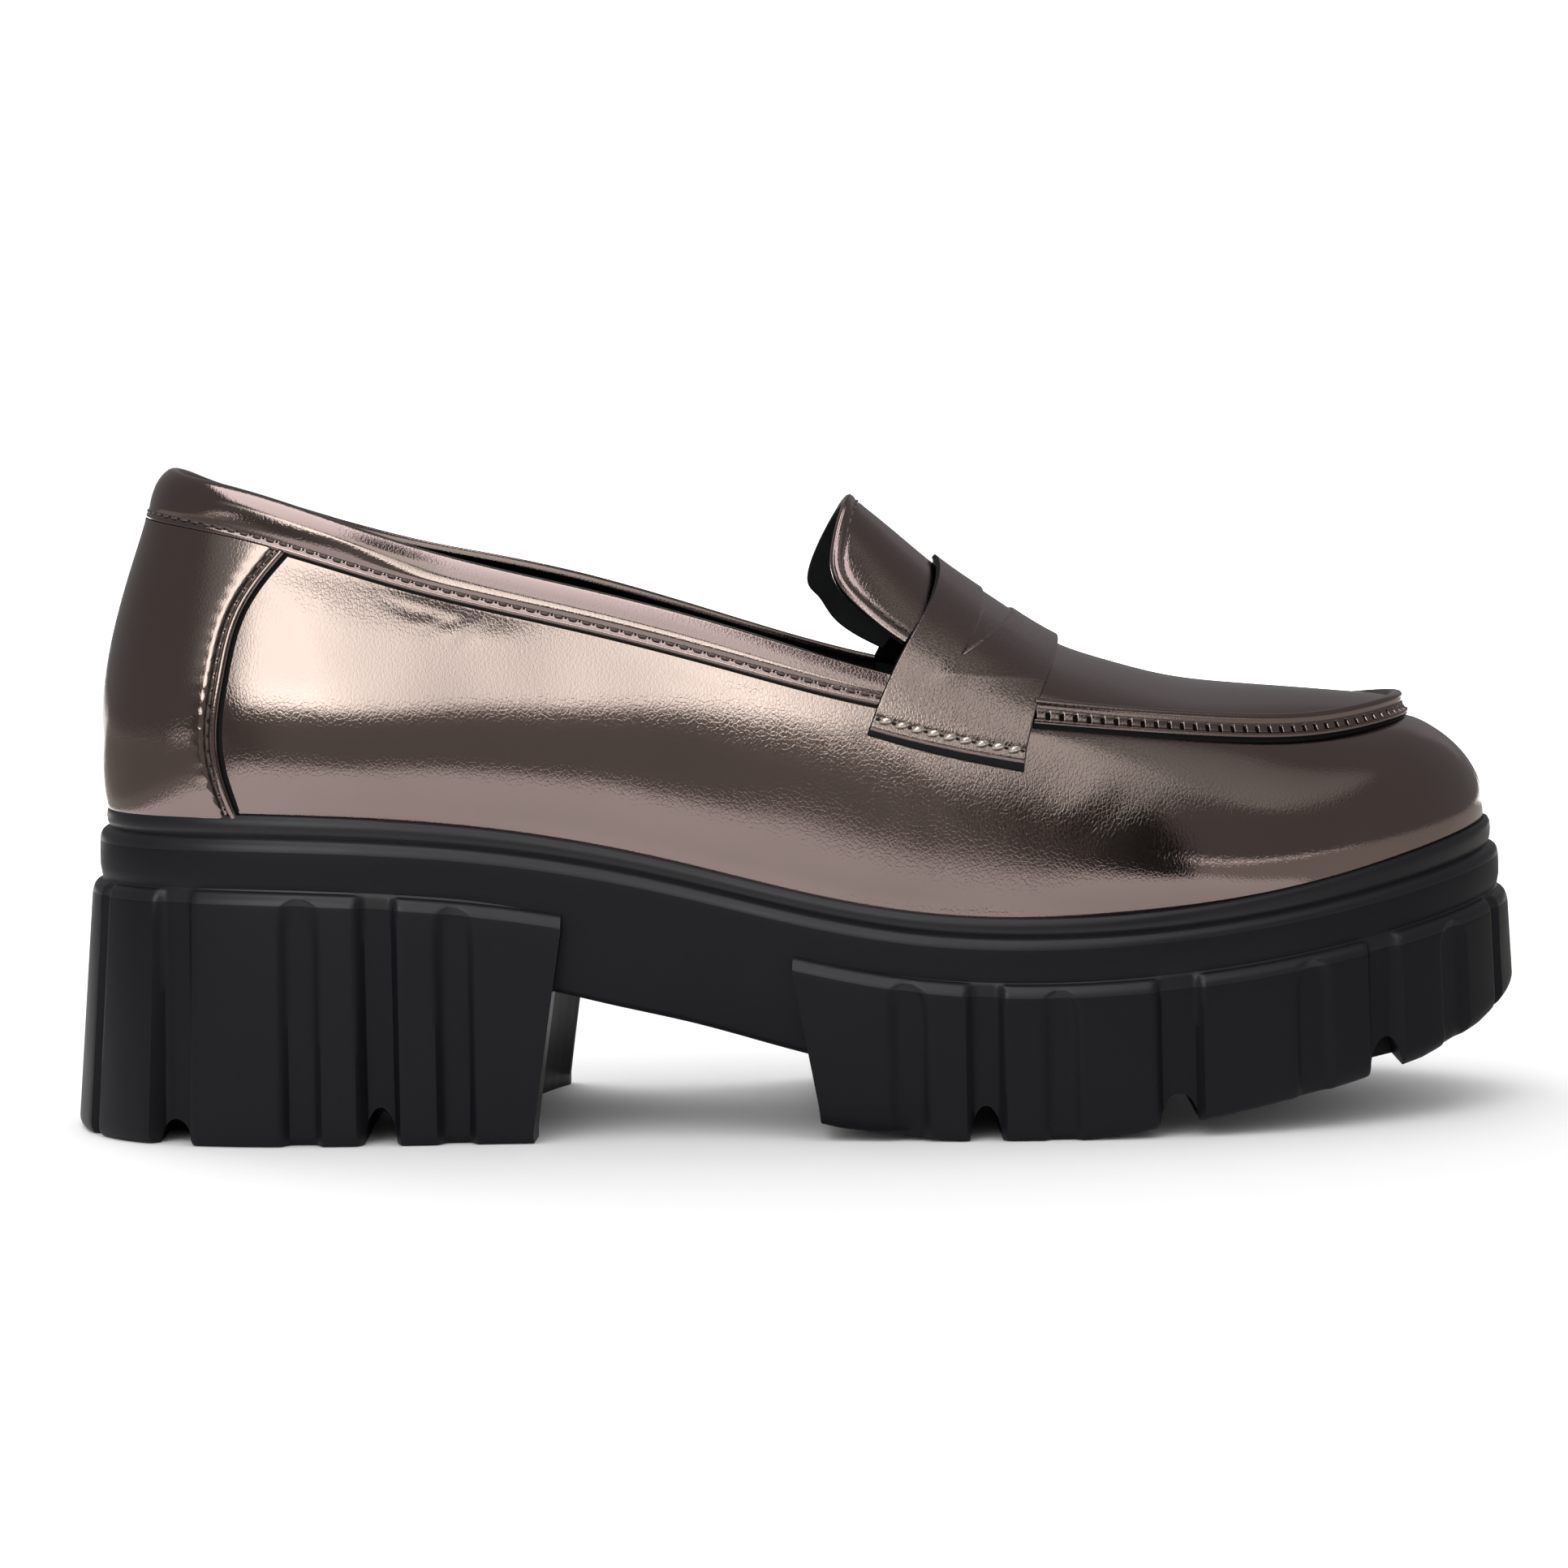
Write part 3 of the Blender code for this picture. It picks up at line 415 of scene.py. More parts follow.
def upper_normal(t, girth):
    """Outward direction of the upper's face."""
    t, girth = np.broadcast_arrays(np.asarray(t, float), np.asarray(girth, float))
    low = np.clip(girth - STEP_GIRTH, 0.0, 3.0 - STEP_GIRTH)
    high = np.clip(girth + STEP_GIRTH, STEP_GIRTH, 3.0)
    ahead = upper_point(t + STEP_T, girth) - upper_point(t - STEP_T, girth)
    up = upper_point(t, high) - upper_point(t, low)
    return unit(np.cross(ahead, up))


def lifted_point(t, girth, height):
    """Point over the outer face of the upper, at a height square to it."""
    return upper_point(t, girth) + upper_normal(t, girth) * np.asarray(height)[..., None]


def strip_height(t):
    """Height of the strip, measured along its face."""
    return np.linalg.norm(strip_point(t, np.ones_like(t)) - strip_point(t, np.zeros_like(t)), axis=-1)


def strip_place(t, across, lift):
    """Point at a distance up the strip from its lower edge, lifted square to it."""
    t, across, lift = np.broadcast_arrays(t, across, lift)
    height = strip_height(t)
    share = across / height
    inside = np.clip(share, 0.0, 1.0)
    up = unit(strip_point(t, inside + STEP_GIRTH) - strip_point(t, inside - STEP_GIRTH))
    ahead = strip_point(t + STEP_T, inside) - strip_point(t - STEP_T, inside)
    normal = unit(np.cross(ahead, up))
    past = ((share - inside) * height)[..., None]
    return strip_point(t, inside) + up * past + normal * lift[..., None]


print("collar edge at the heel back:", upper_point(0.0, 2.0).round(1))

# %% [markdown]
# ## From points to pieces
# A fine surface is a grid of points and the quads between them. Typing faces by hand would be slow, and
# modifiers such as Subdivision would round the stepped seams away, so each piece is worked out by its
# function and handed to Blender as one mesh. Every piece rides on the body "root", because a shoe has
# no joints.


# %% Grids and pieces
def grid_quads(rows, columns, closed=False):
    """Corner numbers of the quads of a grid; closed joins the last column to the first."""
    row = np.arange(rows - 1)[:, None]
    column = np.arange(columns if closed else columns - 1)[None, :]
    following = (column + 1) % columns
    here = row * columns + column
    there = row * columns + following
    return np.stack((here, there, there + columns, here + columns), axis=-1).reshape(-1, 4)


# The insole's box is known in the frame and in shoe millimetres, so it gives the shift between the two.
insole_line = feather(np.linspace(0.0, 2.0, OUTLINE_SAMPLES))
insole_edge = insole_line[0] - insole_line[1] * INSOLE_INSET
stand = np.array([*(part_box("insole")[0][:2]), 0.0]) - np.array([*insole_edge.min(axis=0), 0.0]) * MM


def sheet_of(points, material=0, closed=False):
    """A grid of points as one sheet: points, quads and a material number."""
    rows, columns = points.shape[:2]
    return points.reshape(-1, 3), grid_quads(rows, columns, closed), material


def new_piece(name, sheets, materials, node=None):
    """One mesh object from sheets of points in shoe millimetres."""
    points, faces, numbers = [], [], []
    count = 0
    for sheet_points, sheet_faces, material in sheets:
        points.append(sheet_points)
        faces += (sheet_faces + count).tolist()
        numbers.append(np.broadcast_to(material, len(sheet_faces)))
        count += len(sheet_points)
    mesh = bpy.data.meshes.new(name)
    mesh.from_pydata((np.concatenate(points) * MM + stand).tolist(), [], faces)
    for material in materials:
        mesh.materials.append(material)
    mesh.polygons.foreach_set("material_index", np.concatenate(numbers).astype(np.int32))
    mesh.shade_smooth()
    piece = bpy.data.objects.new(name, mesh)
    bpy.context.scene.collection.objects.link(piece)
    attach(piece, "root")
    if node:
        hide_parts(node)
    return piece


def fix_mesh(piece, weld=0.0, sharp=None):
    """Join points that meet, turn all faces outward, and keep edges sharper than an angle."""
    bm = bmesh.new()
    bm.from_mesh(piece.data)
    if weld:
        bmesh.ops.remove_doubles(bm, verts=bm.verts, dist=weld * MM)
    bmesh.ops.recalc_face_normals(bm, faces=bm.faces)
    bm.to_mesh(piece.data)
    bm.free()
    piece.data.shade_smooth()
    if sharp:
        piece.data.set_sharp_from_angle(angle=math.radians(sharp))


def apply_modifiers(piece):
    """Replace a piece's mesh by its evaluated mesh."""
    view = bpy.context.evaluated_depsgraph_get()
    mesh = bpy.data.meshes.new_from_object(piece.evaluated_get(view))
    piece.modifiers.clear()
    piece.data = mesh


print("shoe's zero point in the frame:", (stand / MM).round(2), "mm")

# %% [markdown]
# ## Materials
# Colours are written as sRGB hex values, as a painter or a web page would, and one function turns them
# to the linear values that the shader needs. Patterns take their scale from a real size in millimetres:
# the textures read object coordinates, which are metres here, so a feature of g millimetres needs a
# scale of 1000 / g.


# %% Helpers for materials
def linear(hex_colour):
    """Linear colour of an sRGB hex value."""
    channels = [int(hex_colour[i:i + 2], 16) / 255.0 for i in (1, 3, 5)]
    return tuple(((c + 0.055) / 1.055) ** 2.4 if c > 0.04045 else c / 12.92 for c in channels) + (1.0,)


def add_node(tree, kind, inputs=None, **settings):
    """A node with its settings; an input that is another node's socket is linked."""
    made = tree.nodes.new(kind)
    for name, value in settings.items():
        setattr(made, name, value)
    for name, value in (inputs or {}).items():
        if isinstance(value, bpy.types.NodeSocket):
            tree.links.new(value, made.inputs[name])
        else:
            made.inputs[name].default_value = value
    return made


def new_material(name):
    """Empty node material, with its shader and its object coordinates."""
    material = bpy.data.materials.new(name)
    material.use_nodes = True
    tree = material.node_tree
    place = add_node(tree, "ShaderNodeTexCoord").outputs["Object"]
    return material, tree, tree.nodes["Principled BSDF"], place


def scale_for(size_mm):
    """Texture scale for features of a size in millimetres."""
    return 1.0 / (size_mm * MM)


print("pewter as a linear colour:", [round(c, 3) for c in linear("#877573")])

# %% [markdown]
# The upper is foil leather: split leather with a metal film pressed on it. The film makes it a mirror
# in pewter, and the hide under it shows as fine slanting wrinkles that break up the edge of each
# reflection. They are too shallow to model, so they are bump, and deeper near the strap.

# %% Pewter foil leather
GRAIN_MM = 0.45
CRACK_MM = 0.65
GRAIN_STRETCH = 0.75
GATHERED_AT = Vector((36.0, 0.0, 84.0)) * MM
GATHERED_NEAR = 16.0 * MM
GATHERED_FAR = 60.0 * MM
GATHERED_DEPTH = 1.4
GATHERED_DULL = 0.06
CRACK_WIDTH = 0.14
CRACK_DEPTH = 0.35
TONE_MM = 22.0


def pewter_leather(name, depth_mm, slant, dullness):
    """Foil leather: a pewter mirror over fine slanting wrinkles, deeper where the leather is gathered."""
    material, tree, shader, place = new_material(name)
    slanted = add_node(tree, "ShaderNodeMapping", {
        "Vector": place, "Rotation": (0.0, math.radians(slant), 0.0), "Scale": (1.0, 1.0, GRAIN_STRETCH)})
    pebbles = add_node(tree, "ShaderNodeTexNoise", {
        "Vector": slanted.outputs[0], "Scale": scale_for(GRAIN_MM), "Detail": 2.0, "Distortion": 0.4})
    cells = add_node(tree, "ShaderNodeTexVoronoi", {
        "Vector": slanted.outputs[0], "Scale": scale_for(CRACK_MM)}, feature="DISTANCE_TO_EDGE")
    cracks = add_node(tree, "ShaderNodeMapRange", {
        "Value": cells.outputs["Distance"], "From Min": 0.0, "From Max": CRACK_WIDTH,
        "To Min": -CRACK_DEPTH, "To Max": 0.0})
    grain = add_node(tree, "ShaderNodeMath", {0: pebbles.outputs["Fac"], 1: cracks.outputs["Result"]},
                     operation="ADD")
    side_on = add_node(tree, "ShaderNodeVectorMath", {0: place, 1: (1.0, 0.0, 1.0)}, operation="MULTIPLY")
    away = add_node(tree, "ShaderNodeVectorMath", {0: side_on.outputs[0], 1: GATHERED_AT},
                    operation="DISTANCE")
    gathered = add_node(tree, "ShaderNodeMapRange", {
        "Value": away.outputs["Value"], "From Min": GATHERED_NEAR, "From Max": GATHERED_FAR,
        "To Min": 1.0, "To Max": 0.0}, interpolation_type="SMOOTHSTEP")
    swell = add_node(tree, "ShaderNodeMath", {0: gathered.outputs["Result"], 1: GATHERED_DEPTH, 2: 1.0},
                     operation="MULTIPLY_ADD")
    height = add_node(tree, "ShaderNodeMath", {0: grain.outputs[0], 1: swell.outputs[0]},
                      operation="MULTIPLY")
    bump = add_node(tree, "ShaderNodeBump", {
        "Height": height.outputs[0], "Distance": depth_mm * MM, "Strength": 1.0})
    dull = add_node(tree, "ShaderNodeMath", {0: gathered.outputs["Result"], 1: GATHERED_DULL, 2: dullness},
                    operation="MULTIPLY_ADD")
    cloud = add_node(tree, "ShaderNodeTexNoise", {
        "Vector": place, "Scale": scale_for(TONE_MM), "Detail": 4.0})
    colour = add_node(tree, "ShaderNodeMix", {
        "Factor": cloud.outputs["Fac"], "A": linear("#80716d"), "B": linear("#8a7a76")}, data_type="RGBA")
    tree.links.new(colour.outputs["Result"], shader.inputs["Base Color"])
    tree.links.new(dull.outputs[0], shader.inputs["Roughness"])
    tree.links.new(bump.outputs["Normal"], shader.inputs["Normal"])
    shader.inputs["Metallic"].default_value = 1.0
    return material


leather = pewter_leather("pewter_foil_leather", 0.013, -40.0, 0.10)
strap_leather = pewter_leather("pewter_foil_leather_embossed", 0.018, 12.0, 0.09)
print("leather grain:", GRAIN_MM, "mm pebbles in", CRACK_MM, "mm cells")

# %% [markdown]
# The sole is moulded thermoplastic rubber, black all through. Its mould was sandblasted, which leaves a
# matt skin with a very fine grit. Beads and upper edges are rubbed smoother and carry the only clear
# highlights.

# %% Black moulded rubber
GRIT_MM = 0.5
GRIT_DEPTH = 0.012 * MM
SHEEN_MM = 14.0


def moulded_rubber(name, gloss_low, gloss_high, shine):
    """Black thermoplastic rubber with a lightly gritted skin."""
    material, tree, shader, place = new_material(name)
    grit = add_node(tree, "ShaderNodeTexNoise", {
        "Vector": place, "Scale": scale_for(GRIT_MM), "Detail": 2.0, "Roughness": 0.6})
    cloud = add_node(tree, "ShaderNodeTexNoise", {
        "Vector": place, "Scale": scale_for(SHEEN_MM), "Detail": 5.0})
    gloss = add_node(tree, "ShaderNodeMapRange", {
        "Value": cloud.outputs["Fac"], "From Min": 0.3, "From Max": 0.7, "To Min": gloss_low,
        "To Max": gloss_high})
    bump = add_node(tree, "ShaderNodeBump", {
        "Height": grit.outputs["Fac"], "Distance": GRIT_DEPTH, "Strength": 1.0})
    tree.links.new(gloss.outputs["Result"], shader.inputs["Roughness"])
    tree.links.new(bump.outputs["Normal"], shader.inputs["Normal"])
    shader.inputs["Base Color"].default_value = linear("#141217")
    shader.inputs["Specular IOR Level"].default_value = shine
    return material


rubber = moulded_rubber("black_moulded_rubber", 0.42, 0.5, 0.14)
rubber_edge = moulded_rubber("black_moulded_rubber_rubbed", 0.36, 0.43, 0.36)
print("rubber grit:", GRIT_MM, "mm")

# %% [markdown]
# The lining is thin black coated fabric with a dull grain, and the cut edges of the leather are dyed black.
# The same black also stands as painted shade: in the gaps in front of the overlays, in the seam's slits,
# under the strap's end and as a dark disc over each needle hole. The thread is brown bonded polyester, a
# twisted yarn, darkened as painted shade where its stitches lie in dips. The strap is sewn with a thicker
# waxed one that shines like the leather, lightened as a painted highlight.

# %% Lining, edge dye and painted shade, thread
LINING_GRAIN_MM = 0.8
LINING_DEPTH = 0.03 * MM
FIBRE_MM = 0.4
FIBRE_DEPTH = 0.05 * MM
TWIST_MM = 2.2
TWIST_DEPTH = 0.06 * MM


def black_lining():
    """Coated black lining with a dull grain."""
    material, tree, shader, place = new_material("black_coated_lining")
    grain = add_node(tree, "ShaderNodeTexVoronoi", {"Vector": place, "Scale": scale_for(LINING_GRAIN_MM)})
    tone = add_node(tree, "ShaderNodeMapRange", {
        "Value": grain.outputs["Distance"], "From Min": 0.0, "From Max": 0.8,
        "To Min": 0.5, "To Max": 0.62})
    bump = add_node(tree, "ShaderNodeBump", {
        "Height": grain.outputs["Distance"], "Distance": LINING_DEPTH, "Strength": 1.0})
    tree.links.new(tone.outputs["Result"], shader.inputs["Roughness"])
    tree.links.new(bump.outputs["Normal"], shader.inputs["Normal"])
    shader.inputs["Base Color"].default_value = linear("#17171a")
    return material


def edge_dye_and_shade():
    """Raw leather edge, dyed black, with the fibres of the cut; the same black serves as painted shade."""
    material, tree, shader, place = new_material("black_edge_dye_and_shade")
    fibres = add_node(tree, "ShaderNodeTexNoise", {
        "Vector": place, "Scale": scale_for(FIBRE_MM), "Detail": 3.0})
    bump = add_node(tree, "ShaderNodeBump", {
        "Height": fibres.outputs["Fac"], "Distance": FIBRE_DEPTH, "Strength": 1.0})
    tree.links.new(bump.outputs["Normal"], shader.inputs["Normal"])
    shader.inputs["Base Color"].default_value = linear("#0c0b0c")
    shader.inputs["Roughness"].default_value = 0.55
    shader.inputs["Specular IOR Level"].default_value = 0.15
    return material


def sewing_thread(name, colour, metallic, gloss):
    """Bonded polyester thread: a twisted yarn."""
    material, tree, shader, place = new_material(name)
    twist = add_node(tree, "ShaderNodeTexWave", {
        "Vector": place, "Scale": scale_for(TWIST_MM), "Distortion": 2.0}, bands_direction="DIAGONAL")
    bump = add_node(tree, "ShaderNodeBump", {
        "Height": twist.outputs["Fac"], "Distance": TWIST_DEPTH, "Strength": 1.0})
    tree.links.new(bump.outputs["Normal"], shader.inputs["Normal"])
    shader.inputs["Base Color"].default_value = linear(colour)
    shader.inputs["Metallic"].default_value = metallic
    shader.inputs["Roughness"].default_value = gloss
    return material


lining_fabric = black_lining()
# Black for the dyed edges, also used as painted shade in gaps, slits, needle holes and under the strap.
black_dye_and_shade = edge_dye_and_shade()
# Fine thread: its dark brown is partly painted shade for stitches that lie in dips.
thread = sewing_thread("brown_thread_darkened_as_shade", "#4a3f3b", 0.2, 0.42)
# Strap thread: its pale colour is partly a painted highlight, with real gloss.
bold_thread = sewing_thread("waxed_thread_lightened_as_highlight", "#c4b8ae", 0.75, 0.26)
print("thread:", thread.name, "and", bold_thread.name)

# %% [markdown]
# ## The upper
# Leather that is pulled over a last never lies quite true. Wide shallow waves bend the reflections, and
# short creases sit where the collar pulls and where the vamp will flex. They are placed in shoe
# millimetres, as soft troughs with a raised lip, and moved into the fine grid along its own normals.

# %% Waves and creases
WAVES = (
    ("length", "direction", "phase", "height"),
    (46.0, 20.0, 0.6, 0.055),
    (31.0, -35.0, 2.1, 0.035),
    (23.0, 75.0, 4.0, 0.018),
    (17.0, 8.0, 1.3, 0.012),
)
CREASES = (
    ("s", "height", "length", "direction", "width", "depth"),
    (57.0, 98.6, 7.0, -22.0, 0.9, 0.03),
    (62.5, 97.0, 9.0, -18.0, 1.0, 0.045),
    (64.5, 95.0, 7.0, 24.0, 0.9, 0.035),
    (71.0, 93.6, 7.0, 32.0, 1.1, 0.04),
    (113.5, 84.4, 10.0, -14.0, 1.2, 0.03),
    (120.0, 82.2, 7.0, -10.0, 1.0, 0.03),
    (143.5, 67.5, 15.0, -78.0, 3.2, 0.12),
    (151.0, 62.0, 13.0, -62.0, 3.0, 0.09),
    (185.0, 58.0, 14.0, 40.0, 3.4, 0.07),
    (36.0, 92.0, 12.0, -62.0, 2.4, 0.06),
)
WAVE_START = (0.0, 0.2)
WAVE_END = (0.85, 1.0)
CREASE_SPAN = 0.55
LIP_HEIGHT = 0.7
LIP_AT = 1.6


def relief(t, girth):
    """Waves and creases of the wall, in millimetres over the true last."""
    point = upper_point(t, girth)
    s, height = point[..., 0], point[..., 2]
    side = np.sign(point[..., 1])
    held = soft_step(*WAVE_START, girth) * (1.0 - soft_step(*WAVE_END, girth))
    total = np.zeros_like(s)
    for length, direction, phase, swing in WAVES[1:]:
        turn = math.radians(direction)
        place = (s * math.cos(turn) + height * math.sin(turn)) / length
        total += swing * np.sin(2.0 * np.pi * place + phase + side) * held
    for crease_s, crease_z, length, direction, width, depth in CREASES[1:]:
        turn = math.radians(direction)
        ahead = (s - crease_s) * math.cos(turn) + (height - crease_z) * math.sin(turn)
        off = ((height - crease_z) * math.cos(turn) - (s - crease_s) * math.sin(turn)) / width
        along = np.exp(-(ahead / (CREASE_SPAN * length)) ** 4)
        lip = LIP_HEIGHT * np.exp(-((off - LIP_AT) ** 2))
        total += depth * along * (lip - np.exp(-(off ** 2)))
    return total * (girth <= 1.0)


print(len(WAVES) - 1, "waves and", len(CREASES) - 1, "creases")

# %% Outer face of the upper
THROAT = 0.556
UPPER_COLUMNS = 640
UPPER_ROWS = 52
TUCKED_ROWS = (-0.9, -0.3)
STRIP_ROWS = 8
APRON_COLUMNS = 150
APRON_ROWS = 34
FOOT_SWELL = 0.2
FOOT_REACH = 0.07


def build_upper():
    """Outer face of the upper: wall and strip all round, apron in front of the throat."""
    ring = np.linspace(0.0, 2.0, UPPER_COLUMNS, endpoint=False)
    rows = np.concatenate((TUCKED_ROWS, np.linspace(0.0, 1.0, UPPER_ROWS), np.linspace(1.1, 2.0, STRIP_ROWS)))
    t, girth = np.meshgrid(ring, rows)
    foot = FOOT_SWELL * (1.0 - soft_step(0.0, FOOT_REACH, girth))
    wall = lifted_point(t, girth, relief(t, girth) + foot)
    front = np.linspace(THROAT, 1.0, APRON_COLUMNS)
    arch = 2.0 + np.linspace(0.0, 1.0, APRON_ROWS) ** 1.5
    half = upper_point(front[None, :], arch[:, None])
    mate = upper_point(2.0 - front[None, :], arch[:, None])
    apron = over_ridge(half, mate)
    piece = new_piece("upper_leather", [sheet_of(wall, closed=True), sheet_of(apron)], [leather],
                      "upper")
    fix_mesh(piece, weld=0.005)
    return piece


upper = build_upper()
print("upper:", len(upper.data.polygons), "quads")

# %% [markdown]
# The lining is its own thin sheet, a wall's thickness inside the leather. It is black, and it shows
# inside the collar and under the tongue.

# %% Lining
LINING_COLUMNS = 320
LINING_ROWS = 22
LINING_STRIP_ROWS = 6
LINING_FRONT = 0.985
LINING_APRON = (20, 90)


def build_lining():
    """Lining inside the wall, the collar and the apron."""
    ring = np.linspace(0.0, 2.0, LINING_COLUMNS, endpoint=False)
    rows = np.concatenate((np.linspace(0.03, 1.0, LINING_ROWS), np.linspace(1.1, 1.9, LINING_STRIP_ROWS)))
    t, girth = np.meshgrid(ring, rows)
    wall = lifted_point(t, girth, np.full(t.shape, -UPPER_WALL))
    arch_rows, columns = LINING_APRON
    front, arch = np.meshgrid(np.linspace(THROAT, LINING_FRONT, columns), np.linspace(2.0, 3.0, arch_rows))
    depth = np.full(front.shape, -UPPER_WALL)
    apron = over_ridge(lifted_point(front, arch, depth), lifted_point(2.0 - front, arch, depth))
    return new_piece("lining", [sheet_of(wall, closed=True), sheet_of(apron)], [lining_fabric])


lining = build_lining()
print("lining:", len(lining.data.polygons), "quads")

# %% [markdown]
# ## Stitches and overlays
# A lockstitch shows as short beads of thread that dive into a needle hole at each end. Each bead is a
# small arched tube, and each hole a dark dot of painted shade; a row of them is placed along a line by its
# length, so the pitch stays true round a curve. All rows share three meshes: fine thread, bold thread and
# holes. The overlays that they hold down are each one sheet of leather with a black edge: the dyed edge and
# a thin strip of painted shade beside it.

# %% Thread, needle holes and overlays
THREAD_RINGS = 6
THREAD_SIDES = 7
THREAD_DIVE = 1.3
THREAD_TAPER = 0.72
HOLE_SIDES = 8
HOLE_STRETCH = 1.15
HOLE_SECTION = (
    ("share", "lift"),
    (1.0, 0.0),
    (0.45, 0.07),
    (0.02, 0.09),
)
FINE_STITCH = {"fill": 0.78, "tilt": 0.0, "raise": 0.45, "hole": 0.28}
BOLD_STITCH = {"fill": 0.86, "tilt": 0.7, "raise": 0.7, "hole": 0.55}
thread_sheets = []
bold_sheets = []
hole_shade_sheets = []


def places_along(line, normals, pitch):
    """Points and normals at equal steps along a line."""
    run = run_along(line)
    count = max(1, int(run[-1] / pitch))
    at = np.arange(count + 1) * run[-1] / count
    point = np.stack([np.interp(at, run, line[:, k]) for k in range(3)], axis=-1)
    normal = unit(np.stack([np.interp(at, run, normals[:, k]) for k in range(3)], axis=-1))
    return point, normal


def sew(line, normals, pitch, radius, bold=False):
    """Add a row of stitches along a line; bold ones stand up and slant, others lie in the dip."""
    kind = BOLD_STITCH if bold else FINE_STITCH
    point, normal = places_along(line, normals, pitch)
    start, end = point[:-1], point[1:]
    up = unit(normal[:-1] + normal[1:])
    ahead = unit(end - start)
    side = np.cross(up, ahead)
    length = np.linalg.norm(end - start, axis=1)[:, None, None] * kind["fill"]
    u = np.linspace(-1.0, 1.0, THREAD_RINGS)[None, :, None]
    spine = (0.5 * (start + end)[:, None, :] + ahead[:, None, :] * (0.5 * length * u)
             + side[:, None, :] * (kind["tilt"] * radius * u)
             + up[:, None, :] * (radius * kind["raise"] - radius * THREAD_DIVE * u ** 4))
    around = np.linspace(0.0, 2.0 * np.pi, THREAD_SIDES, endpoint=False)
    thick = radius * np.sqrt(1.0 - THREAD_TAPER * u ** 2)
    ring = (side[:, None, None, :] * np.cos(around)[None, None, :, None]
            + up[:, None, None, :] * np.sin(around)[None, None, :, None])
    beads = spine[:, :, None, :] + ring * thick[..., None]
    for bead in beads:
        (bold_sheets if bold else thread_sheets).append(sheet_of(bead, closed=True))
    # Each needle hole is a dark disc just over the surface: painted shade for the hole.
    dots = np.linspace(0.0, 2.0 * np.pi, HOLE_SIDES, endpoint=False)
    for middle, out, forward in zip(point, normal, np.concatenate((ahead, ahead[-1:]))):
        across = np.cross(out, forward)
        rim = np.cos(dots)[:, None] * forward + np.sin(dots)[:, None] * across * HOLE_STRETCH
        rim = rim * kind["hole"]
        disc = np.stack([middle + rim * share + out * lift for share, lift in HOLE_SECTION[1:]])
        hole_shade_sheets.append(sheet_of(disc, closed=True))


def leather_overlay(node, points, dye_and_shade):
    """Overlay of the upper from a grid of points; the mask marks its black quads: the dyed edge and the
    painted shade beside it.
    """
    corners, quads, _ = sheet_of(points)
    piece = new_piece(f"{node}_leather", [(corners, quads, dye_and_shade.reshape(-1).astype(int))],
                      [leather, black_dye_and_shade], node)
    fix_mesh(piece)
    return piece


print("a stitch has", (THREAD_RINGS - 1) * THREAD_SIDES, "quads")

# %% [markdown]
# ## Heel counter
# The counter is a panel round the heel back. Its front edge is folded under and sewn down, which leaves
# a rounded ridge, a dip along the stitches and a dark gap in front; the gap is a thin black strip on the
# wall, painted shade beside the dyed edge. A section table across the edge, swept up the edge line, gives
# that more exactly than a bevel would.

# %% Heel counter
COUNTER_EDGE = (
    ("share", "along"),
    (0.0, 41.6),
    (0.25, 38.8),
    (0.5, 40.0),
    (0.75, 43.0),
    (1.0, 50.8),
)
COUNTER_SECTION = (
    ("distance", "lift", "pucker"),
    (-0.6, 0.02, 0.0),
    (-0.55, 0.15, 0.0),
    (0.0, 0.18, 0.0),
    (0.02, 0.6, 0.0),
    (0.14, 1.05, 0.0),
    (0.4, 1.36, 0.0),
    (0.8, 1.52, 0.0),
    (1.15, 1.44, 0.0),
    (1.5, 1.08, 0.0),
    (1.8, 0.7, 0.0),
    (2.1, 0.66, 0.0),
    (2.4, 0.96, 0.6),
    (2.7, 1.26, 1.0),
    (3.05, 1.42, 0.7),
    (3.6, 1.5, 0.2),
    (6.2, 1.52, 0.0),
    (9.0, 1.46, 0.0),
)
COUNTER_PUCKER = 0.05
COUNTER_STITCH = 1.95
COUNTER_PITCH = 2.75
COUNTER_BED = 0.66
COUNTER_THREAD = 0.28
COUNTER_ROWS = 170
COUNTER_INNER = 26
COUNTER_DYE_AND_SHADE = 3
STITCH_SPAN = (0.03, 0.985)
STITCH_POINTS = 120
counter_edge = curve(COUNTER_EDGE, "along")


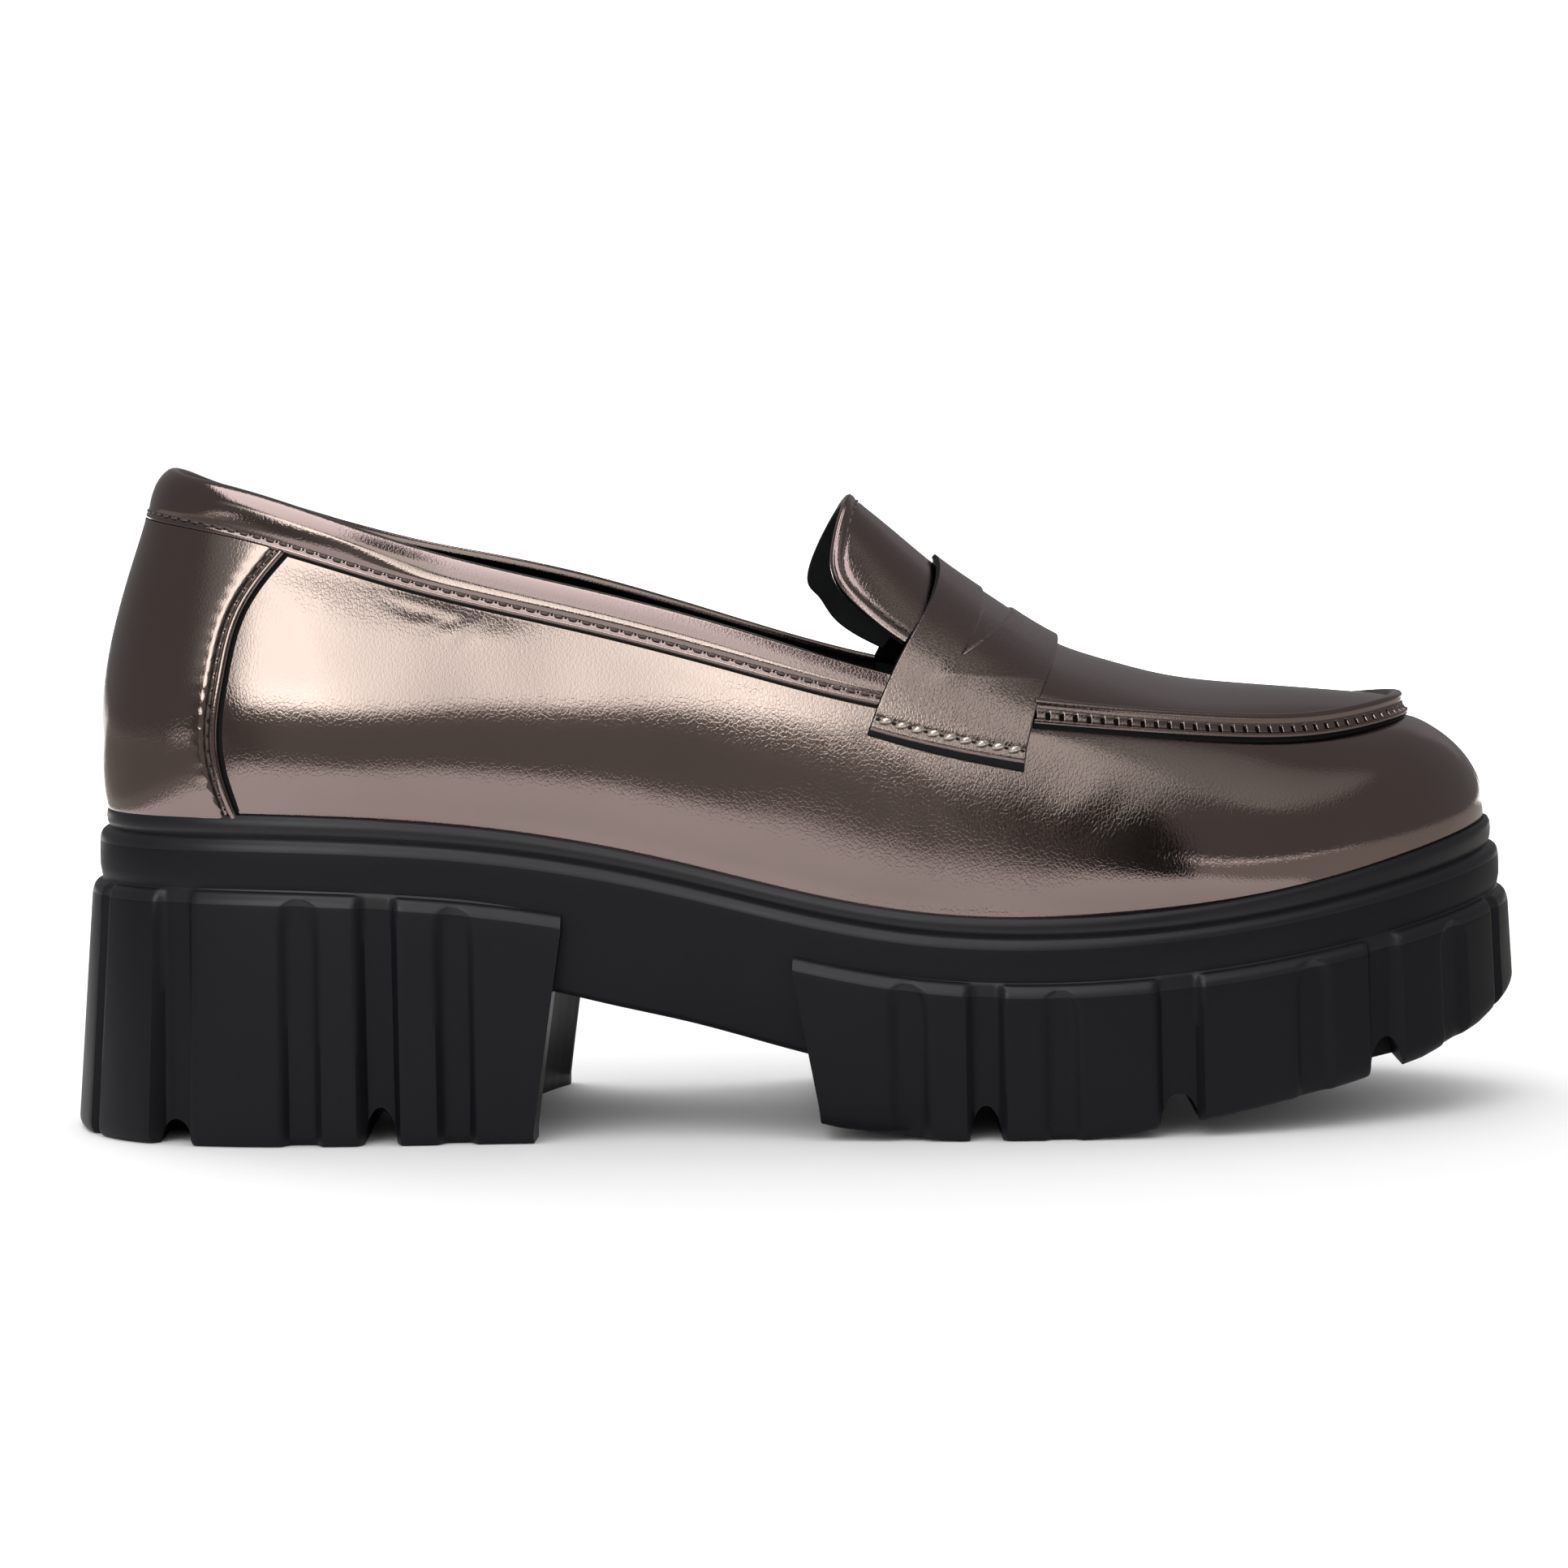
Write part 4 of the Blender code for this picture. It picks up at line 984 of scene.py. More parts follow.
def build_counter():
    """Counter with its folded front edge on both sides."""
    girths = np.concatenate((np.linspace(-0.1, 1.0, COUNTER_ROWS), (1.02,)))
    edge = counter_edge(np.clip(girths, 0.0, 1.0))
    section = np.array(COUNTER_SECTION[1:])
    inner = np.linspace(1.0, 0.0, COUNTER_INNER)[1:]
    along = np.concatenate((edge[:, None] - section[None, :, 0],
                            (edge[:, None] - section[-1, 0]) * inner[None, :]), axis=1)
    lift = np.concatenate((section[:, 1], np.full(len(inner), OVERLAY_GAP + OVERLAY_WALL)))
    along = np.concatenate((along, -along[:, -2::-1]), axis=1) / HALF_LENGTH
    lift = np.concatenate((lift, lift[-2::-1]))
    pucker = np.concatenate((section[:, 2], np.zeros(len(inner))))
    pucker = np.concatenate((pucker, pucker[-2::-1]))
    girth = np.repeat(girths[:, None], along.shape[1], axis=1)
    run = run_along(lifted_point(edge / HALF_LENGTH, girths, np.zeros_like(girths)))
    puff = COUNTER_PUCKER * np.cos(2.0 * np.pi * run / COUNTER_PITCH)
    points = lifted_point(along, girth, lift[None, :] + puff[:, None] * pucker[None, :])
    column = np.arange(along.shape[1] - 1)
    # Black columns at both edges: the dyed edge, and a flat strip in front of it that is painted shade.
    dye_and_shade = np.minimum(column, column[::-1]) < COUNTER_DYE_AND_SHADE
    piece = leather_overlay("heel_counter", points, np.tile(dye_and_shade, (len(girths) - 1, 1)))
    for mirror in (1.0, -1.0):
        row = np.linspace(*STITCH_SPAN, STITCH_POINTS)
        t = mirror * (counter_edge(row) - COUNTER_STITCH) / HALF_LENGTH
        bed = lifted_point(t, row, np.full(row.shape, COUNTER_BED))
        sew(bed, upper_normal(t, row), COUNTER_PITCH, COUNTER_THREAD)
    return piece


counter = build_counter()
print("counter:", len(counter.data.polygons), "quads")

# %% [markdown]
# ## Collar band
# The band round the topline is a strip of leather over a thin foam, so it swells between its stitch row
# and the topline, and rolls over the edge to meet the lining inside. Its section is given once, in
# millimetres up the strip and out from it, and stretched to the strip's own height.

# %% Collar band
STRAP = (
    ("girth", "back", "front"),
    (0.8, 0.530, 0.627),
    (1.0, 0.538, 0.631),
    (2.0, 0.545, 0.637),
    (3.0, 0.537, 0.638),
)
BAND_FOOT = (
    ("up", "lift"),
    (-0.4, 0.02),
    (-0.36, 0.15),
    (0.0, 0.18),
    (0.02, 0.6),
    (0.1, 1.0),
    (0.32, 1.3),
    (0.66, 1.4),
    (1.0, 1.3),
    (1.25, 1.1),
    (1.5, 0.96),
    (1.8, 0.95),
    (2.1, 1.06),
    (2.6, 1.34),
)
BAND_ROLL = (
    ("over", "lift"),
    (-3.4, 1.36),
    (-2.5, 1.18),
    (-1.6, 0.88),
    (-0.8, 0.5),
    (-0.1, 0.02),
    (0.4, -0.5),
    (0.6, -1.0),
    (0.5, -1.5),
    (0.0, -1.9),
    (-0.9, -2.1),
    (-2.4, -2.1),
    (-4.6, -1.95),
    (-5.6, -1.7),
)
BAND_TUCK = 0.002
BAND_DYE_AND_SHADE = 3
BAND_SWELL = 1.36
BAND_PAD = 0.12
PAD_ROWS = 14
PAD_FADE = 0.06
PAD_FULLNESS = 0.8
BAND_FLARE = 1.1
FLARE_START = (8.0, 26.0)
FLARE_END = (44.0, 66.0)
BACK_FILL = 0.3
BACK_SPAN = (0.02, 0.08)
BED_START = (0.6, 1.3)
BED_END = (2.0, 2.6)
BAND_STITCH = 1.65
BAND_BED = 0.95
BAND_THREAD = 0.27
BAND_PITCH = 2.65
BAND_COLUMNS = 700
BAND_POINTS = 1200
strap_back = curve(STRAP, "back", straight=True)
strap_front = curve(STRAP, "front", straight=True)


def build_band():
    """Collar band from strap to strap round the heel."""
    end = float(strap_back(1.5)) + BAND_TUCK
    t = np.linspace(-end, end, BAND_COLUMNS)[:, None]
    height = strip_height(t)
    foot = np.array(BAND_FOOT[1:])
    roll = np.array(BAND_ROLL[1:])
    swell = np.linspace(0.0, 1.0, PAD_ROWS)[1:-1]
    pad = BAND_PAD * (1.0 - soft_step(end - PAD_FADE, end, np.abs(t)))
    s = strip_point(t, np.zeros_like(t))[..., 0]
    flare = BAND_FLARE * soft_step(*FLARE_START, s) * (1.0 - soft_step(*FLARE_END, s))
    back = 1.0 - soft_step(*BACK_SPAN, np.abs(t))
    dip = soft_step(*BED_START, foot[:, 0]) * (1.0 - soft_step(*BED_END, foot[:, 0]))
    turned = np.clip((roll[:, 1] - roll[:, 1].min()) / np.ptp(roll[:, 1]), 0.0, 1.0)
    across = np.concatenate((
        np.broadcast_to(foot[:, 0], (BAND_COLUMNS, len(foot))),
        foot[-1, 0] + (height + roll[0, 0] - foot[-1, 0]) * swell,
        height + roll[:, 0]), axis=1)
    lift = np.concatenate((
        foot[:, 1] + BACK_FILL * back * dip,
        BAND_SWELL + pad * np.sin(np.pi * swell) ** PAD_FULLNESS + flare * swell,
        roll[:, 1] + flare * turned), axis=1)
    points = strip_place(np.broadcast_to(t, across.shape), across, lift)
    # Black columns at the foot: the dyed edge, and a flat strip under it that is painted shade.
    dye_and_shade = np.arange(across.shape[1] - 1) < BAND_DYE_AND_SHADE
    piece = leather_overlay("collar_band", points, np.tile(dye_and_shade, (BAND_COLUMNS - 1, 1)))
    line_t = np.linspace(-end, end, BAND_POINTS)
    bed = BAND_BED + BACK_FILL * (1.0 - soft_step(*BACK_SPAN, np.abs(line_t)))
    line = strip_place(line_t, np.full(BAND_POINTS, BAND_STITCH), bed)
    above = strip_place(line_t, np.full(BAND_POINTS, BAND_STITCH), bed + 1.0)
    sew(line, above - line, BAND_PITCH, BAND_THREAD)
    return piece


band = build_band()
print("collar band:", len(band.data.polygons), "quads")

# %% [markdown]
# ## Apron seam
# The apron is joined to the vamp by a raised seam: the two edges stand up, are whipped together through
# slits and are rolled over. From outside that gives a thin lip, a stitched face with dark slits, and a
# round bead on top. The slits are cut into the face by pushing it in at each pitch, and painted black as
# shade; under the lip a thin black strip on the vamp is painted shade beside the dyed edge.

# %% Apron seam
SEAM_SECTION = (
    ("up", "lift", "slit"),
    (-0.9, 0.02, 0.0),
    (-0.85, 0.15, 0.0),
    (0.0, 0.2, 0.0),
    (0.05, 0.6, 0.0),
    (0.25, 0.95, 0.0),
    (0.5, 1.2, 0.0),
    (0.75, 1.3, 0.0),
    (1.0, 1.2, 0.1),
    (1.15, 1.05, 0.7),
    (1.5, 1.05, 1.0),
    (1.95, 1.12, 1.0),
    (2.25, 1.22, 0.9),
    (2.45, 1.32, 0.3),
    (2.65, 1.34, 0.0),
    (2.8, 1.3, 0.0),
    (2.95, 1.45, 0.0),
    (3.15, 1.8, 0.0),
    (3.45, 2.1, 0.0),
    (3.8, 2.26, 0.0),
    (4.2, 2.22, 0.0),
    (4.6, 1.95, 0.0),
    (4.9, 1.4, 0.0),
    (5.0, 0.7, 0.0),
    (4.95, -0.2, 0.0),
)
SEAM_NOMINAL = 5.0
SLIT_PITCH = 2.55
SLIT_WIDTH = 0.6
SLIT_DEPTH = 0.9
SLIT_EDGES = (0.25, 0.75)
SLIT_BLACK = 0.6
FACE_BLACK = 0.5
SEAM_COLUMNS = 1800
SEAM_TUCK = 0.004
SEAM_MIDDLE = 0.4
SEAM_DYE_AND_SHADE = 4


def build_apron_seam():
    """Raised seam round the apron, from strap to strap by the toe."""
    start = float(strap_front(2.0)) - SEAM_TUCK
    t = np.linspace(start, 2.0 - start, SEAM_COLUMNS)[:, None]
    height = strip_height(t)
    section = np.array(SEAM_SECTION[1:])
    run = run_along(strip_point(t[:, 0], np.full(SEAM_COLUMNS, SEAM_MIDDLE)))
    off = np.abs((run / SLIT_PITCH + 0.5) % 1.0 - 0.5) * SLIT_PITCH
    slit = 1.0 - soft_step(*(share * SLIT_WIDTH for share in SLIT_EDGES), off)
    lift = section[None, :, 1] - SLIT_DEPTH * slit[:, None] * section[None, :, 2]
    points = strip_place(np.broadcast_to(t, lift.shape), section[None, :, 0] * height / SEAM_NOMINAL, lift)
    column = np.arange(len(section) - 1)[None, :]
    # Black in the slits is painted shade; black at the foot is the dyed edge and a strip of painted shade.
    slit_shade = (slit[:-1, None] > SLIT_BLACK) & (section[None, :-1, 2] > FACE_BLACK)
    return leather_overlay("apron_seam", points, (column < SEAM_DYE_AND_SHADE) | slit_shade)


apron_seam = build_apron_seam()
print("apron seam:", len(apron_seam.data.polygons), "quads")

# %% [markdown]
# ## Saddle strap
# The strap is a thick embossed leather with raw, black dyed edges; the black on its rounded edges and a
# black backing that stands out under its sewn end are partly painted shade, for the dark line under the
# strap. Its end is sewn to the wall, bends over the apron seam in one sweep and lies on the apron, with a
# leaf shaped slot on the ridge that shows the backing layer half a millimetre down. The sweep is a Bezier
# curve between the wall and the apron, one for each column, and the slot, the rounded edges and the crease
# over the bend are heights over that sheet.

# %% Form of the strap
STRAP_LOW_BACK = 0.87
STRAP_LOW_FRONT = 0.80
STRAP_JOIN = 2.4
STRAP_SEAT = 0.6
BEND_LOW = 0.5
BEND_HIGH = 0.36
BACKING_REACH = 0.027
BACKING_SPREAD = (0.75, 1.25)
BACKING = (
    ("share", "lift"),
    (1.0, 0.05),
    (1.0, 0.6),
    (0.85, 0.85),
    (0.5, 0.95),
    (-0.6, 0.95),
)
STRAP_SWEEP = 70
STRAP_ARCH = 46
STRAP_STEP = 0.03


def strap_low(across):
    """Girth of the strap's lower edge."""
    return STRAP_LOW_BACK + (STRAP_LOW_FRONT - STRAP_LOW_BACK) * across


def strap_on(across, girth, lift, inner):
    """Point over the upper, for a share across the strap and a girth."""
    t = strap_back(girth) + (strap_front(girth) - strap_back(girth)) * across
    t, girth, lift = np.broadcast_arrays(2.0 - t if inner else t, girth, lift)
    return lifted_point(t, girth, lift)


def strap_half(across, inner):
    """Lower face of half the strap, in rows from its sewn end to the ridge."""
    low = strap_low(across)
    foot = strap_on(across, low, OVERLAY_GAP, inner)
    rise = unit(strap_on(across, low + STRAP_STEP, OVERLAY_GAP, inner) - foot)
    join = strap_on(across, STRAP_JOIN, STRAP_SEAT, inner)
    arrive = unit(join - strap_on(across, STRAP_JOIN - STRAP_STEP, STRAP_SEAT, inner))
    span = np.linalg.norm(join - foot, axis=-1)[:, None]
    u = np.linspace(0.0, 1.0, STRAP_SWEEP)[:, None, None]
    sweep = (foot * (1.0 - u) ** 3 + 3.0 * (foot + rise * BEND_LOW * span) * (1.0 - u) ** 2 * u
             + 3.0 * (join - arrive * BEND_HIGH * span) * (1.0 - u) * u ** 2 + join * u ** 3)
    arch = strap_on(across[None, :], np.linspace(STRAP_JOIN, 3.0, STRAP_ARCH)[1:, None], STRAP_SEAT, inner)
    return np.concatenate((sweep, arch))


def strap_backing_and_shade(across, inner):
    """Black backing that stands out under the strap's sewn end, partly painted shade under the strap."""
    low = strap_low(across)[None, :]
    reach = BACKING_REACH * np.interp(across, (0.0, 1.0), BACKING_SPREAD)[None, :]
    share, lift = np.array(BACKING[1:]).T[..., None]
    return strap_on(across[None, :], low - reach * share, lift, inner)


print("strap's sewn end:", strap_half(np.array((0.0, 1.0)), False)[0].round(1).tolist())

# %% Slot, crease and edges of the strap
SLOT_BACK = 0.375
SLOT_WIDTH = 0.265
SLOT_TIP = 87.5
SLOT_DEPTH = 0.45
SLOT_FLANK = 0.3
CREASE_HEIGHT = 84.2
CREASE_FALL = 2.8
CREASE_LIFT = 0.2
CREASE_WIDTH = 0.9
CREASE_START = (0.25, 0.42)
PINCH_AT = 0.36
PINCH_LIFT = 0.12
PINCH_LENGTH = 2.4
PINCH_WIDTH = 2.0
STRAP_STITCH = 2.4
STRAP_PITCH = 2.7
STRAP_THREAD = 0.6
STITCH_PULL = 0.3
PULL_WIDTH = 0.7
EDGE_ROUND = {"low": 0.8, "back": 0.3, "front": 0.2}


def rounded(distance, radius):
    """Fall of a face near its edge, as a quarter circle."""
    x = 1.0 - np.clip(distance / radius, 0.0, 1.0)
    return radius * (1.0 - np.sqrt(1.0 - x * x))


def strap_relief(points, across):
    """Heights over the strap's flat face, and where it is black: edge dye, and partly painted shade."""
    height = points[..., 2]
    run = run_along(points)
    width = np.linalg.norm(points[:, -1] - points[:, 0], axis=-1)[:, None]
    back, front = across * width, (1.0 - across) * width
    fall = np.maximum(rounded(run, EDGE_ROUND["low"]), rounded(back, EDGE_ROUND["back"]))
    fall = np.maximum(fall, rounded(front, EDGE_ROUND["front"]))
    pull = STITCH_PULL * np.exp(-((run - STRAP_STITCH) / PULL_WIDTH) ** 2)
    up = np.clip((height - SLOT_TIP) / (height[-1] - SLOT_TIP), 0.0, 1.0)
    slot_front = SLOT_BACK + SLOT_WIDTH * up ** 0.8
    inside = np.minimum((across - SLOT_BACK) * width, (slot_front - across) * width)
    slot = SLOT_DEPTH * soft_step(0.0, SLOT_FLANK, inside)
    line = CREASE_HEIGHT - CREASE_FALL * (across - SLOT_BACK)
    crease = CREASE_LIFT * np.exp(-np.abs(height - line) / CREASE_WIDTH) * soft_step(*CREASE_START, across)
    pinch_run = (across - PINCH_AT) * width / PINCH_LENGTH
    crease += PINCH_LIFT * np.exp(-pinch_run ** 2 - ((height - line) / PINCH_WIDTH) ** 2)
    # The black over the rounded edges is edge dye and partly painted shade.
    dye_and_shade = (run < 0.75 * EDGE_ROUND["low"]) | (back < EDGE_ROUND["back"])
    dye_and_shade = dye_and_shade | (front < 0.5 * EDGE_ROUND["front"])
    return crease - fall - pull - slot, dye_and_shade, run


print("slot:", SLOT_DEPTH, "mm deep; stitches", STRAP_STITCH, "mm from the end")

# %% Strap mesh and stitches
EDGE_COLUMNS = (0.0, 0.002, 0.005, 0.01, 0.018)
FACE_START = 0.026
FACE_COLUMNS = 110


def border(grid):
    """Points round the edge of a grid, in turn."""
    return np.concatenate((grid[0], grid[1:, -1], grid[-1, -2::-1], grid[-2:0:-1, 0]))


def build_strap():
    """Strap over the instep: top face, underside and dyed rim, with its two stitch rows."""
    fine = np.array(EDGE_COLUMNS)
    across = np.concatenate((fine, np.linspace(FACE_START, 1.0 - FACE_START, FACE_COLUMNS), 1.0 - fine[::-1]))
    halves, reliefs, marks, runs = [], [], [], []
    for inner in (False, True):
        points = strap_half(across, inner)
        relief_height, dye_and_shade, run = strap_relief(points, across)
        halves.append(points)
        reliefs.append(relief_height)
        marks.append(dye_and_shade)
        runs.append(run)
    base = over_ridge(*halves)
    lift = STRAP_WALL + over_ridge(*reliefs)
    dye_and_shade = over_ridge(*marks)
    normal = unit(np.cross(np.gradient(base, axis=1), np.gradient(base, axis=0)))
    normal = normal * np.sign(normal[len(halves[0]) - 1, :, 2].mean())
    top = base + normal * lift[..., None]
    rim = np.stack((border(top), border(base)))
    face = sheet_of(top)
    face_dye_and_shade = (dye_and_shade[:-1, :-1] & dye_and_shade[1:, 1:]).reshape(-1).astype(int)
    # The black backings under the sewn end are partly painted shade.
    backings_and_shade = [sheet_of(strap_backing_and_shade(across, inner), 1) for inner in (False, True)]
    sheets = [(face[0], face[1], face_dye_and_shade), sheet_of(base, 1), sheet_of(rim, 1, closed=True)] + backings_and_shade
    piece = new_piece("saddle_strap_leather", sheets, [strap_leather, black_dye_and_shade],
                      "saddle_strap")
    fix_mesh(piece, weld=0.001, sharp=55.0)
    rows = len(halves[0])
    for first, run in ((slice(0, rows), runs[0]), (slice(len(base) - 1, rows - 2, -1), runs[1])):
        part, out = top[first], normal[first]
        columns = list(range(len(fine) + 1, len(across) - len(fine)))
        at = [int(np.argmin(np.abs(run[:, k] - STRAP_STITCH))) for k in columns]
        line = part[at, columns]
        sew(line, out[at, columns], STRAP_PITCH, STRAP_THREAD, bold=True)
    return piece


strap = build_strap()
print("strap:", len(strap.data.polygons), "faces")

# %% [markdown]
# ## Tongue
# The tongue is an arched sheet behind the strap, its rounded end standing up from the foot. The leather
# is folded over a black lining and edge stitched, so a thin ridge runs round it, then the stitch row.
# Its section changes along its length: a table gives the radius of each side and the angle that the arc
# reaches.

# %% Tongue
TONGUE = (
    ("s", "lateral_radius", "medial_radius", "lateral_angle", "medial_angle"),
    (140.5, 18.0, 18.0, 6.0, 8.0),
    (141.2, 18.3, 18.4, 36.0, 50.0),
    (142.4, 19.0, 19.0, 52.0, 72.0),
    (144.2, 20.4, 20.0, 63.0, 84.0),
    (147.0, 23.0, 21.5, 66.0, 83.0),
    (151.0, 27.0, 23.5, 62.0, 82.0),
    (158.4, 34.0, 26.0, 54.0, 74.0),
)
TONGUE_STITCH = 1.9
TONGUE_PITCH = 2.8
TONGUE_THREAD = 0.26
TONGUE_BED = 0.1
TONGUE_EDGE = (
    ("distance", "lift"),
    (0.0, 0.0),
    (0.25, 0.18),
    (0.75, 0.26),
    (1.3, 0.12),
    (1.75, -0.12),
    (2.15, -0.12),
    (2.7, 0.0),
    (3.5, 0.0),
)
TONGUE_TIP = TONGUE[1][0]
TONGUE_REACH = TONGUE[-1][0] - TONGUE_TIP
TONGUE_RIM = 0.35
tongue_knots = [math.sqrt((row[0] - TONGUE_TIP) / TONGUE_REACH) for row in TONGUE[1:]]
tongue_shape = {name: spline(tongue_knots, [row[k] for row in TONGUE[1:]])
                for k, name in enumerate(TONGUE[0]) if k}
throat_middle = ridge_point(np.array((THROAT,)))[0][0, 1]


def tongue_point(run, spread):
    """Top face of the tongue and its normal: run 0 is the tip, spread -1 the outer edge, 1 the inner edge."""
    run, spread = np.broadcast_arrays(np.asarray(run, float), np.asarray(spread, float))
    s = TONGUE_TIP + TONGUE_REACH * run ** 2
    outer = spread < 0.0
    radius = np.where(outer, tongue_shape["lateral_radius"](run), tongue_shape["medial_radius"](run))
    reach = np.where(outer, tongue_shape["lateral_angle"](run), tongue_shape["medial_angle"](run))
    angle = spread * np.radians(reach)
    _, square = ridge_frame(s)
    ridge = np.stack((s, np.full_like(s, throat_middle), ridge_height(s)), axis=-1)
    point = ridge - square * (radius * (1.0 - np.cos(angle)))[..., None]
    point[..., 1] += radius * np.sin(angle)
    normal = square * np.cos(angle)[..., None]
    normal[..., 1] += np.sin(angle)
    return point, normal


def tongue_edge(count):
    """Edge of the tongue from the outer side of the throat round the tip to the inner side."""
    run = np.concatenate((np.linspace(1.0, 0.0, count), np.zeros(9), np.linspace(0.0, 1.0, count)))
    spread = np.concatenate((-np.ones(count), np.linspace(-1.0, 1.0, 11)[1:-1], np.ones(count)))
    return tongue_point(run, spread)


print("tongue tip at", tongue_point(0.0, 0.0)[0].round(1))

# %% Tongue mesh and stitches
TONGUE_COLUMNS = 76
TONGUE_ROWS = 91
TONGUE_SIDE = 120
TONGUE_HEART = 0.8
FOLD_ROWS = 9
FOLD_LEATHER = 5


def build_tongue():
    """Tongue with its folded edge, black underside and edge stitching."""
    points, normal = tongue_point(np.linspace(0.0, 1.0, TONGUE_COLUMNS)[None, :],
                                  np.sin(np.linspace(-0.5, 0.5, TONGUE_ROWS) * np.pi)[:, None])
    edge, edge_normal = tongue_edge(TONGUE_SIDE)
    ahead = unit(np.gradient(edge, axis=0))
    outward = unit(np.cross(ahead, edge_normal))
    middle = tongue_point(TONGUE_HEART, 0.0)[0]
    outward = outward * np.sign(np.sum(outward * (edge - middle), axis=-1))[:, None]
    gap = np.min(np.linalg.norm(points[:, :, None, :] - edge[None, None, :, :], axis=-1), axis=-1)
    top = points + normal * curve(TONGUE_EDGE, "lift", straight=True)(gap)[..., None]
    below = points - normal * TONGUE_WALL
    turn = np.linspace(0.0, np.pi, FOLD_ROWS)
    rim = (edge[None] - edge_normal[None] * (TONGUE_WALL * (0.5 - 0.5 * np.cos(turn)))[:, None, None]
           + outward[None] * (TONGUE_RIM * np.sin(turn))[:, None, None])
    folded = sheet_of(rim)
    under = np.arange(len(folded[1])) >= (len(edge) - 1) * FOLD_LEATHER
    sheets = [sheet_of(top), sheet_of(below, 1), (folded[0], folded[1], under.astype(int))]
    piece = new_piece("tongue_leather", sheets, [leather, lining_fabric], "tongue")
    line = edge - outward * TONGUE_STITCH - edge_normal * TONGUE_BED
    inside = slice(3, -3)
    sew(line[inside], edge_normal[inside], TONGUE_PITCH, TONGUE_THREAD)
    return piece


tongue = build_tongue()
print("tongue:", len(tongue.data.polygons), "faces")

# %% [markdown]
# The stitch rows gathered so far become three pieces, which keeps the scene's list short.

# %% Stitch pieces
stitches = new_piece("stitch_thread", thread_sheets, [thread])
bold_stitches = new_piece("strap_stitch_thread", bold_sheets, [bold_thread])
# Needle holes as dark discs of painted shade.
holes = new_piece("needle_hole_shades", hole_shade_sheets, [black_dye_and_shade])
fix_mesh(stitches)
fix_mesh(bold_stitches)
fix_mesh(holes)
print("stitches:", len(thread_sheets), "needle holes:", len(hole_shade_sheets))

# %% [markdown]
# ## Insole
# The footbed is a thin cushioned sheet on the seat of the sole, slightly dished so that its rim rises
# to the lining. It is a grid between the two sides of its outline.

# %% Insole
FOOTBED_DISH = 0.5
FOOTBED_COLUMNS = 170
FOOTBED_ROWS = 41


def build_insole():
    """Footbed between the lining's two sides, with a raised rim."""
    along = 0.5 - 0.5 * np.cos(np.linspace(0.0, np.pi, FOOTBED_COLUMNS))
    sides = []
    for t in (along, 2.0 - along):
        plan, out = feather(t)
        sides.append(plan - out * INSOLE_INSET)
    share = 0.5 - 0.5 * np.cos(np.linspace(0.0, np.pi, FOOTBED_ROWS))
    plan = sides[0][None] * (1.0 - share[:, None, None]) + sides[1][None] * share[:, None, None]
    s = plan[..., 0]
    dish = FOOTBED_DISH * np.abs(2.0 * share[:, None] - 1.0) ** 4
    top = welt_height(s) - SEAT_DEPTH * step_scale(s) + FIT_GAP + INSOLE_THICKNESS - FOOTBED_DISH + dish
    return new_piece("footbed", [sheet_of(solid_point(plan, top))], [lining_fabric], "insole")


insole = build_insole()
fix_mesh(insole, weld=0.01)
print("footbed:", len(insole.data.polygons), "quads")

# %% [markdown]
# ## Sole
# The sole is one moulding: a platform with a bead, a groove and a step round its top edge, a heel block
# and a fore block with ribs. The platform is a loft of its section along the feather line.

# %% Platform
PLATFORM_SECTION = (
    ("out", "drop"),
    (0.3, 2.2),
    (0.3, 0.2),
    (0.45, -0.25),
    (0.9, -0.4),
    (1.35, -0.12),
    (1.68, 0.7),
    (1.8, 1.6),
    (1.74, 2.4),
    (1.58, 3.0),
    (1.36, 3.35),
    (1.32, 3.55),
    (1.6, 3.75),
    (2.2, 4.02),
    (2.72, 4.5),
    (3.05, 5.2),
    (3.22, 6.2),
    (3.3, 8.0),
    (3.3, 10.8),
    (3.0, 12.8),
)
PLATFORM_UNDERSIDE = (
    ("s", "height", "out"),
    (0.0, 33.0, -3.0),
    (68.0, 30.4, -3.0),
    (80.0, 28.2, 3.0),
    (95.0, 24.6, 3.0),
    (110.0, 21.2, 3.0),
    (136.0, 14.4, 3.0),
    (147.0, 12.6, -3.0),
    (180.0, 12.0, -3.0),
    (210.0, 15.5, -3.0),
    (240.0, 21.0, -3.0),
    (260.0, 27.0, -3.0),
)
PLATFORM_COLUMNS = 560
RUBBED_ROWS = 15
BEAD_RISE = (
    ("s", "rise"),
    (0.0, 0.0),
    (180.0, 0.0),
    (225.0, 0.7),
    (245.0, 1.3),
    (260.0, 1.4),
)
BEAD_CROWN = 1.0
BEAD_FOOT = 3.5
UNDER_EDGE = (
    ("inset", "lift"),
    (0.0, 1.4),
    (0.25, 0.7),
    (0.75, 0.25),
    (1.5, 0.0),
)


def cap_quads(count, first):
    """Rungs that close a ring of points: each joins a place on one side to its mate on the other."""
    step = np.arange(count // 2 - 1)
    return np.stack((step, step + 1, count - 2 - step, count - 1 - step), axis=1) + first


def loft(rings):
    """Points and quads of a closed solid through rings of equal count."""
    rows, columns = rings.shape[:2]
    faces = np.concatenate((grid_quads(rows, columns, closed=True), cap_quads(columns, 0),
                            cap_quads(columns, (rows - 1) * columns)))
    return rings.reshape(-1, 3), faces


